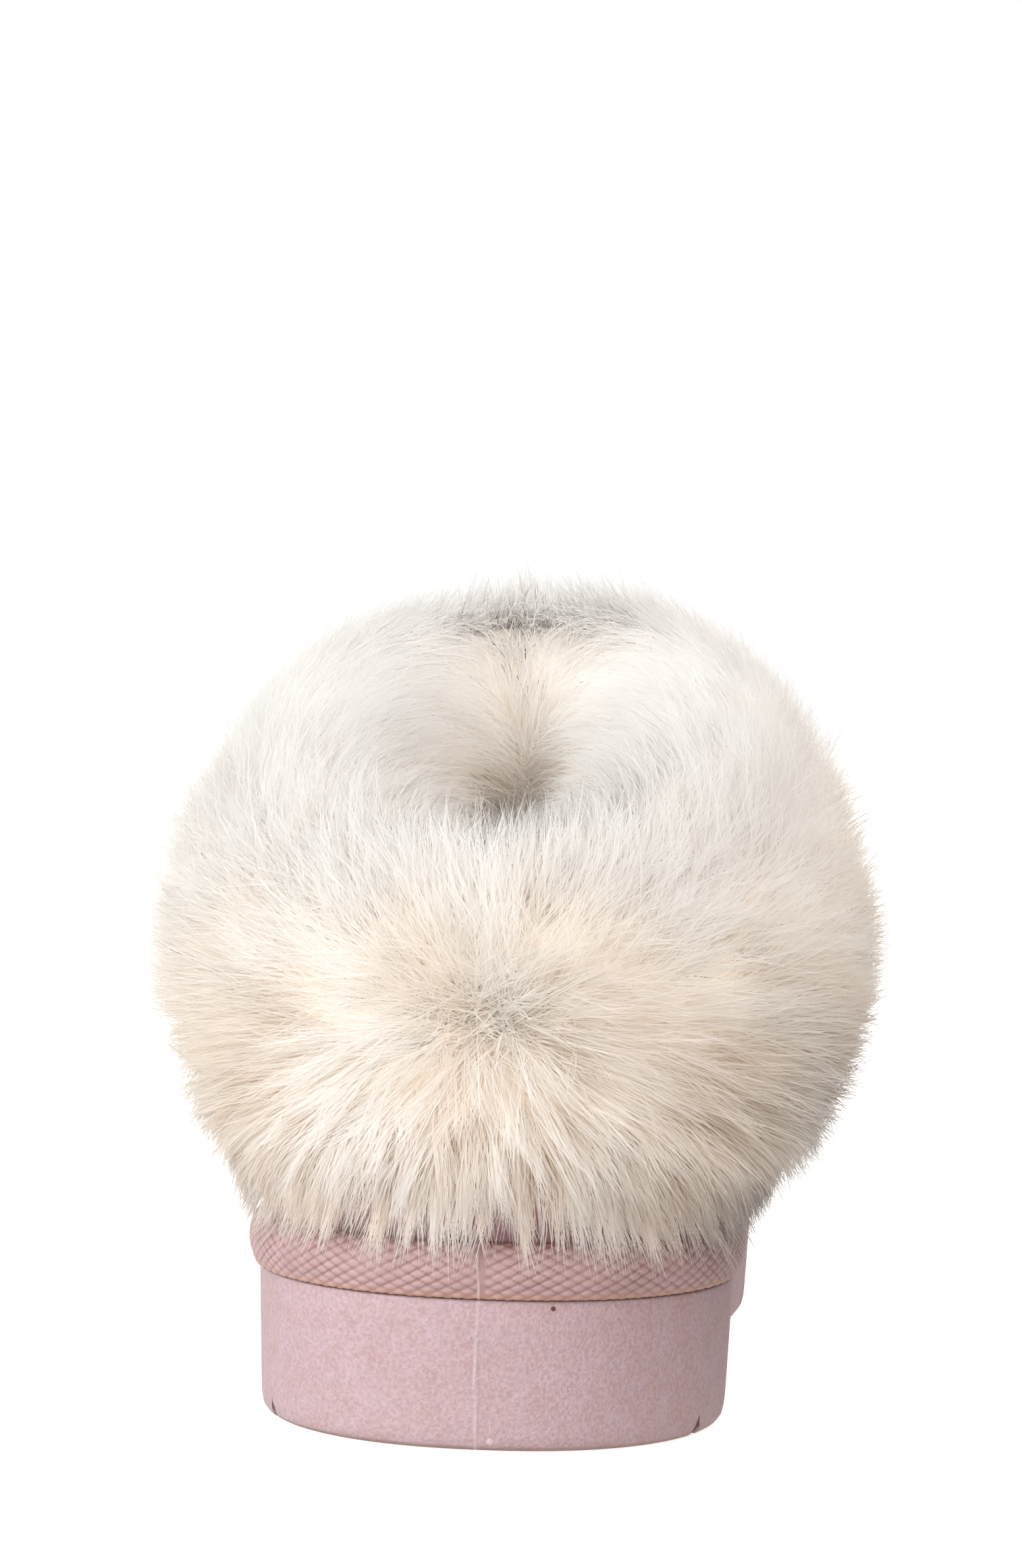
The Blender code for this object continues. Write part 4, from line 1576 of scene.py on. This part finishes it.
@dataclass
class FurCuff:
    """The long fur: a dense ground under locks of tapered fibres, combed out from a whorl at the heel."""

    coat: Coat
    whorl_turn: float = 0.0
    whorl_place: float = 0.55
    comb: float = 15 * MM  # how far a fibre's tip is combed from straight out
    fibre_width: float = 0.18 * MM
    steps: tuple[float, ...] = (0.0, 0.42, 0.76, 1.0)  # where a fibre's rows lie along it
    taper: tuple[float, ...] = (1.0, 0.9, 0.62, 0.0)  # and how much of its width is left there
    girth: float = 55 * MM  # radius of the coat, to turn lengths into turns
    climb: float = 55 * MM  # length of the coat over one place
    stray: float = 0.22  # spread of a lock's combing, in parts of the comb
    uneven: float = 0.035  # spread of the locks' lengths
    rooting: float = 0.25  # how far under the ground fur a root lies, in parts of the coat's depth
    lean: float = 0.3  # how far a lock has travelled where it bends
    shortest: float = 0.82  # how much of its curve the shortest fibre keeps
    longer: float = 0.22  # and how much more the longest has
    twist: float = 0.25  # spread of the ribbons' turn from their guides
    levelled: float = 0.8  # how much a guide is brought nearer to level
    widths: tuple[float, float] = (0.75, 1.3)  # least and most of the fibre's width
    softness: tuple[float, float, float] = (0.55, 0.45, 0.22)  # soft normal: the coat's way, flat side, up
    sectors: tuple[Growth, ...] = (
        Growth(CuffPart.HEEL, -52, 52, 2750, 14),
        Growth(CuffPart.OUTER, 52, 125, 2250, 13),
        Growth(CuffPart.FRONT, 125, 235, 2550, 13),
        Growth(CuffPart.INNER, 235, 308, 2250, 13),
    )

    def combing(self, place: np.ndarray, turn: np.ndarray) -> tuple[np.ndarray, np.ndarray]:
        """The way the fur is combed: straight away from the whorl at the heel, and only up or down in front.

        Args:
            place: places of the tips.
            turn: turns of the tips.

        Returns:
            The travel from root to tip, in places and in turns.
        """
        around = np.mod(turn - self.whorl_turn + math.pi, FULL_TURN) - math.pi
        sideways = np.sin(around) * self.girth * (0.6 + 0.4 * ease(-0.1, 0.35, place))
        upwards = (np.minimum(place, 1.3) - self.whorl_place) * self.climb
        length = np.hypot(sideways, upwards)
        reach = self.comb * ease(0.0, 16 * MM, length) / np.maximum(length, 1e-6)
        return upwards * reach / self.climb, sideways * reach / self.girth

    def lock_tips(self, sector: Growth, rng: np.random.Generator) -> tuple[np.ndarray, np.ndarray]:
        """Places and turns of the locks' tips, spread evenly over the coat's surface in one sector.

        Args:
            sector: the sector to fill.
            rng: the random numbers.

        Returns:
            The places and the turns.
        """
        tips, places = self.coat.tips, self.coat.places
        up = np.linalg.norm(np.diff(tips, axis=0), axis=-1)
        across = np.linalg.norm(np.roll(tips, -1, axis=1) - tips, axis=-1)[:-1]
        middle = (places[:-1] + places[1:])[:, None] / 2
        turn = np.linspace(0, 360, self.coat.columns, endpoint=False)[None, :]
        inside = np.mod(turn - sector.start, 360) < sector.end - sector.start
        fringe = 3.0 * ease(-0.18, -0.09, middle)
        wanted = np.where(middle > 1.6, 0.5, 1.0 + 1.3 * bell(middle, 1.06, 0.22))
        wanted = np.where(middle < 0.04, fringe, wanted)
        weight = (up * across * inside * wanted).ravel()
        picked = rng.choice(weight.size, sector.locks, p=weight / weight.sum())
        row, col = np.divmod(picked, self.coat.columns)
        place = places[row] + rng.random(sector.locks) * (places[row + 1] - places[row])
        return place, (col + rng.random(sector.locks)) * FULL_TURN / self.coat.columns

    def grow(self, sector: Growth, rng: np.random.Generator) -> Locks:
        """The locks of one sector, and the controls of their fibres' curves.

        A lock is a bent line with three controls: its root in the ground fur, a point over the root where
        it starts to lean, and its tip. Each of its fibres moves the controls by random lengths that shrink
        to the tip, so that the lock closes to a soft point.

        Args:
            sector: the sector to grow.
            rng: the random numbers.

        Returns:
            The locks.
        """
        place, turn = self.lock_tips(sector, rng)
        count, many = sector.locks, sector.fibres
        rise, swing = self.combing(place, turn)
        calm = 0.4 + 0.6 * ease(-0.05, 0.35, place)
        stray = rng.normal(0, self.stray, (2, count)) * self.comb * calm
        rise, swing = rise + stray[0] / self.climb, swing + stray[1] / self.girth
        root_place, root_turn = np.clip(place - rise, 0.01, 1.98), turn - swing
        ground = self.coat.ground_share(root_place, root_turn)
        long = 1 + rng.normal(0, self.uneven, count)
        root = self.coat.at(root_place, root_turn, np.maximum(ground - self.rooting, 0.02))
        half_out = 0.5 + 0.5 * ground
        bend = self.coat.at(root_place + self.lean * rise, root_turn + self.lean * swing, half_out)
        tip = self.coat.at(place, turn, long)
        facing = self.coat.at(place, turn, np.ones(count)) - self.coat.at(place, turn, np.zeros(count))
        controls = np.stack([root, bend, tip], axis=1)[:, None]
        closing = 0.75 + 0.25 * ease(0.3, 0.8, place)
        wide = np.stack([np.full(count, 1.9), 0.4 + 1.5 * closing, 1.9 * closing], axis=1) * MM
        wide = (wide * (0.35 + 0.65 * calm)[:, None])[:, None, :, None]
        controls = controls + rng.normal(0, 1, (count, many, 3, 3)) * wide
        return Locks(place, turn, root_place, unit(facing), controls.reshape(-1, 3, 3))

    def fibres(self, sector: Growth) -> tuple[Surface, dict[str, np.ndarray], np.ndarray]:
        """All fibres of one sector as tapered ribbons along quadratic curves through their controls.

        A ribbon's flat side is turned to its guide, which is the coat's outward way brought nearer to
        level, and is twisted from it at random. Its soft normal is a blend of the coat's way and its own
        flat side, so that the fur takes the light as a soft body with some sparkle.

        Args:
            sector: the sector to grow.

        Returns:
            The surface, the values for the material, and a soft normal for each point.
        """
        rng = np.random.default_rng(100 + list(CuffPart).index(sector.part))
        locks = self.grow(sector, rng)
        many = sector.fibres
        facing = np.repeat(locks.facing, many, axis=0)
        share = (self.shortest + self.longer * rng.random(len(facing)))[:, None] * np.array(self.steps)
        t = share[..., None]
        p0, p1, p2 = (locks.controls[:, k][:, None] for k in range(3))
        line = (1 - t) ** 2 * p0 + 2 * t * (1 - t) * p1 + t**2 * p2
        tangent = unit(2 * (1 - t) * (p1 - p0) + 2 * t * (p2 - p1))
        level_out = unit(facing * np.array([1, 1, 0]))
        guide = unit(facing + self.levelled * level_out)
        turned = unit(guide + self.twist * rng.normal(0, 1, facing.shape))[:, None]
        side = unit(np.cross(tangent, turned))
        flat = unit(np.cross(side, tangent))
        flat = flat * np.sign(np.einsum("nki,ni->nk", flat, guide))[..., None]
        taper = np.array(self.taper) * self.fibre_width / 2
        half = (taper[None, :] * rng.uniform(*self.widths, (len(line), 1)))[..., None]
        hanging = np.repeat(1 - ease(0.10, 0.60, locks.place), many)[:, None]
        facing = unit(facing * (1 - hanging) + (level_out + np.array([0, 0, 0.35])) * hanging)
        coat_way, own_side, up = self.softness
        soft = unit(coat_way * facing[:, None] + own_side * flat + np.array([0, 0, up]))
        points = self.ribbon_points(line - side * half, line + side * half)
        values, chart = self.values(sector, locks, self.ribbon_points(share, share), rng)
        quads, tris = self.ribbon_faces(len(line))
        surface = Surface(points.reshape(-1, 3), quads, tris, chart)
        return surface, values, self.ribbon_points(soft, soft).reshape(-1, 3)

    @staticmethod
    def ribbon_points(left: np.ndarray, right: np.ndarray) -> np.ndarray:
        """Both edges' values of every ribbon in turn, from root to tip, where the two edges are one."""
        pairs = np.stack([left, right], axis=2).reshape(len(left), -1, *left.shape[2:])
        return pairs[:, :-1]

    def ribbon_faces(self, count: int) -> tuple[np.ndarray, np.ndarray]:
        """Corner indices of all ribbons: faces with four corners along them and one with three at the tip.

        Args:
            count: how many ribbons there are.

        Returns:
            The faces with four corners and those with three.
        """
        rows = len(self.steps)
        pattern = np.array([[2 * k, 2 * k + 1, 2 * k + 3, 2 * k + 2] for k in range(rows - 2)])
        end = np.array([[2 * rows - 4, 2 * rows - 3, 2 * rows - 2]])
        start = (np.arange(count) * (2 * rows - 1))[:, None, None]
        return (start + pattern[None]).reshape(-1, 4), (start + end[None]).reshape(-1, 3)

    def values(
        self, sector: Growth, locks: Locks, outness: np.ndarray, rng: np.random.Generator
    ) -> tuple[dict[str, np.ndarray], np.ndarray]:
        """What the material reads from the fibres.

        Each lock and each fibre is a little lighter or darker. Beige comes in patches of the fur's own
        colour, and more of it low down and in the hollow inside the collar is painted warm shade.

        Args:
            sector: the sector that grows.
            locks: its locks.
            outness: how far out along its fibre each point is.
            rng: the random numbers.

        Returns:
            The values for each point by name, and a flat map.
        """
        count, many, each = sector.locks, sector.fibres, outness.shape[1]
        tone = 1 + rng.normal(0, 0.035, (count, 1)) + rng.normal(0, 0.03, (count, many))
        # painted warm shade: more beige towards the lower edge
        low = 1 - ease(0.40, 0.80, locks.root_place)
        patches = 0.40 + 0.50 * waves(locks.turn * 15, locks.place * 7, 31) + rng.normal(0, 0.16, count)
        # painted warm shade in the hollow inside the collar
        hollow = 0.50 * ease(1.0, 1.3, locks.root_place)
        beige_and_shade = np.clip(np.clip(patches, 0, 1) * (0.10 + 0.95 * low) + 0.32 * low + hollow, 0, 1)
        values = {
            "outness": outness,
            "tone": np.repeat(np.clip(tone, 0.82, 1.03).reshape(-1, 1), each, axis=1),
            "beige_and_shade": np.repeat(beige_and_shade, many * each),
        }
        return values, self.chart(count, tone, outness)

    @staticmethod
    def chart(locks: int, tone: np.ndarray, outness: np.ndarray) -> np.ndarray:
        """A flat map with a square for each lock: across it by the fibre's tone and up it to the tip.

        Args:
            locks: how many locks there are.
            tone: every fibre's tone, lock by lock.
            outness: how far out along its fibre each point is.

        Returns:
            The map's place for each point.
        """
        side = math.ceil(math.sqrt(locks))
        number = np.arange(locks)
        corner = np.stack([number % side, number // side], axis=1)[:, None, None]
        many = tone.shape[1]
        across = np.clip((tone - 0.86) / 0.28, 0, 1)[:, :, None] * 0.78 + 0.06
        width = np.tile([0.0, 0.1], outness.shape[1] // 2 + 1)[: outness.shape[1]]
        up = outness.reshape(locks, many, -1) * 0.86 + 0.06
        spot = np.stack([across + width[None, None, :], up], axis=-1)
        return ((corner + spot) / side).reshape(-1, 2)

    def ground(self) -> Surface:
        """The ground fur: out over the coat at its share of the depth, and back just over the skin.

        Returns:
            The closed surface.
        """
        turn = np.linspace(0, FULL_TURN, 220, endpoint=False)[None, :]
        inner = 1 + self.coat.crest
        crossing, within = np.linspace(1, inner, 20)[1:], np.linspace(inner, 1.97, 24)[1:]
        out_places = np.concatenate([np.linspace(0.02, 1, 46), crossing, within])
        place = out_places[:, None] * np.ones_like(turn)
        share = self.coat.ground_share(place, turn) * (1 + 0.04 * waves(turn * 16, place * 12, 8))
        outer = self.coat.at(place, turn * np.ones_like(place), share)
        back = out_places[::-4][:, None] * np.ones_like(turn)
        inner = self.coat.at(back, turn * np.ones_like(back), 0.04 * np.ones_like(back))
        return facing_out(grid_surface(np.concatenate([outer, inner]), True, True))

    def build(self) -> None:
        """Makes the ground fur and one piece of long fur for each sector."""
        ground = make_mesh("fur_ground", self.ground())
        dress(ground, "fur", FurGround().material())
        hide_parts("fur_cuff")
        fibre = FurFibre().material()
        for sector in self.sectors:
            surface, values, soft = self.fibres(sector)
            piece = make_mesh(f"fur_{sector.part.value}", surface, chart_name="OFBake")
            for name, value in values.items():
                add_value(piece, name, value)
            piece.data.normals_split_custom_set_from_vertices(soft.astype(np.float32))
            dress(piece, "fur", fibre)


# ---------------------------------------------------------------- studio


class Lamp(NamedTuple):
    """One soft light: its name, place and aim in metres, its size, power in watts and colour."""

    name: str
    place: tuple[float, float, float]
    aim: tuple[float, float, float]
    size: float
    power: float
    colour: tuple[float, float, float]


@dataclass
class Studio:
    """A pale floor in a white room, soft lights and the camera behind the heel, on its outer side."""

    lamps: tuple[Lamp, ...] = (
        Lamp("key", (-1.3, -0.9, 0.75), (0.0, 0.0, 0.06), 0.9, 17.5, (0.90, 0.98, 1.02)),
        Lamp("front", (0.1, -1.6, 0.45), (0.0, 0.0, 0.06), 1.2, 10.5, (1.0, 0.98, 0.96)),
        Lamp("top", (0.45, -0.1, 1.45), (0.0, 0.0, 0.10), 1.2, 11.0, (1.0, 1.0, 1.0)),
    )
    sky: float = 0.72
    sky_colour: tuple[float, float, float] = (1.0, 0.94, 0.88)
    eye: tuple[float, float, float] = (0.045, -0.638, 0.117)
    yaw: float = math.radians(-4.02)
    pitch: float = math.radians(-1.47)
    roll: float = math.radians(1.6)
    lens: float = 140.47
    room: float = 7.0  # radius of the floor and the dome
    flag_aside: float = 0.09  # x of the black panel
    flag_reach: tuple[float, float] = (-0.30, 0.40)  # and its ends in y
    flag_rise: tuple[float, float] = (0.002, 0.056)  # and its lower and upper edge

    def build(self) -> None:
        """Sets up floor, room, lights and camera."""
        scene = bpy.context.scene
        scene.view_settings.view_transform = "Standard"
        scene.cycles.diffuse_bounces = 12
        scene.cycles.max_bounces = 16
        self.floor()
        self.surround()
        self.flag()
        world = bpy.data.worlds.new("studio")
        world.use_nodes = True
        background = world.node_tree.nodes["Background"]
        background.inputs["Color"].default_value = (*self.sky_colour, 1.0)
        background.inputs["Strength"].default_value = self.sky
        scene.world = world
        for lamp in self.lamps:
            self.light(lamp)
        self.camera()

    def floor(self) -> None:
        """A pale round floor that also glows a little, so that it stays white under the shoe."""
        ring = np.linspace(0, FULL_TURN, 96, endpoint=False)[None, :]
        radius = np.array([[1e-4], [0.3], [1.0], [self.room]])
        level = np.zeros_like(radius * ring)
        points = np.stack([radius * np.cos(ring), radius * np.sin(ring), level], axis=-1)
        floor = make_mesh("studio_floor", grid_surface(points, True))
        g = Graph("pale_floor")
        tint = g.spread(g.noise(g.place(), 3.0), 0.3, 0.7, 0.0, 1.0)
        colour = g.mix(tint, Shade(0.93, 0.93, 0.93), Shade(0.95, 0.95, 0.945))
        floor.data.materials.append(g.glowing(colour, 0.9, 0.7, 0.1))
        floor.visible_diffuse = False

    def surround(self) -> None:
        """A white dome that only the eye sees: it closes the room and lights nothing."""
        turn = np.linspace(0, FULL_TURN, 64, endpoint=False)[None, :]
        rise = np.linspace(-0.05, math.pi / 2 - 1e-3, 20)[:, None]
        flat = np.cos(rise) * self.room
        high = np.sin(rise) * self.room * np.ones_like(turn)
        points = np.stack([flat * np.cos(turn), flat * np.sin(turn), high], axis=-1)
        dome = make_mesh("studio_surround", grid_surface(points, True))
        g = Graph("white_surround")
        dome.data.materials.append(g.glowing(Shade(0.0, 0.0, 0.0), 1.0, 1.1, 0.0))
        dome.visible_diffuse = False
        dome.visible_glossy = False
        dome.visible_transmission = False
        dome.visible_shadow = False

    def flag(self) -> None:
        """A black panel on the outer side that the eye doesn't see: it keeps the sky off the shaded side."""
        corners = [[[self.flag_aside, y, z] for y in self.flag_reach] for z in self.flag_rise]
        panel = make_mesh("studio_flag", grid_surface(np.array(corners), False))
        g = Graph("black_flag")
        panel.data.materials.append(g.finish(Shade(0.02, 0.016, 0.012), 1.0, Specular_IOR_Level=0.0))
        panel.visible_camera = False
        panel.visible_glossy = False

    def light(self, lamp: Lamp) -> None:
        """A round area light turned to its aim.

        Args:
            lamp: the lamp.
        """
        data = bpy.data.lights.new(lamp.name, "AREA")
        data.shape = "DISK"
        data.size = lamp.size
        data.energy = lamp.power
        data.color = lamp.colour
        made = bpy.data.objects.new(lamp.name, data)
        back = unit(np.array(lamp.place) - np.array(lamp.aim))
        side = unit(np.cross([0, 0, 1.0], back))
        axes = np.stack([side, np.cross(back, side), back], axis=1)
        made.matrix_world = Matrix.Translation(lamp.place) @ Matrix(axes.tolist()).to_4x4()
        bpy.context.scene.collection.objects.link(made)

    def camera(self) -> None:
        """A long lens at collar height behind the heel, turned by its yaw, pitch and roll."""
        data = bpy.data.cameras.new("camera")
        data.sensor_fit = "HORIZONTAL"
        data.sensor_width = 36
        data.lens = self.lens
        data.clip_end = 30
        level = np.array([math.sin(self.yaw), math.cos(self.yaw), 0.0])
        forward = level * math.cos(self.pitch) + np.array([0.0, 0.0, math.sin(self.pitch)])
        right = unit(np.cross(forward, [0, 0, 1.0]))
        up = np.cross(right, forward)
        cosine, sine = math.cos(self.roll), math.sin(self.roll)
        axes = np.stack([right * cosine + up * sine, up * cosine - right * sine, -forward], axis=1)
        made = bpy.data.objects.new("camera", data)
        made.matrix_world = Matrix.Translation(self.eye) @ Matrix(axes.tolist()).to_4x4()
        bpy.context.scene.collection.objects.link(made)
        bpy.context.scene.camera = made


def main() -> None:
    """Builds the shoe from the floor up, then the studio round it."""
    logging.basicConfig(level=logging.INFO, format="%(name)s %(message)s")
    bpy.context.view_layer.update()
    last = Last()
    SoleUnit(last).build()
    Footbed(last).build()
    Upper(last).build()
    FurCuff(Coat(last)).build()
    Studio().build()
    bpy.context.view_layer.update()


if __name__ == "__main__":
    main()
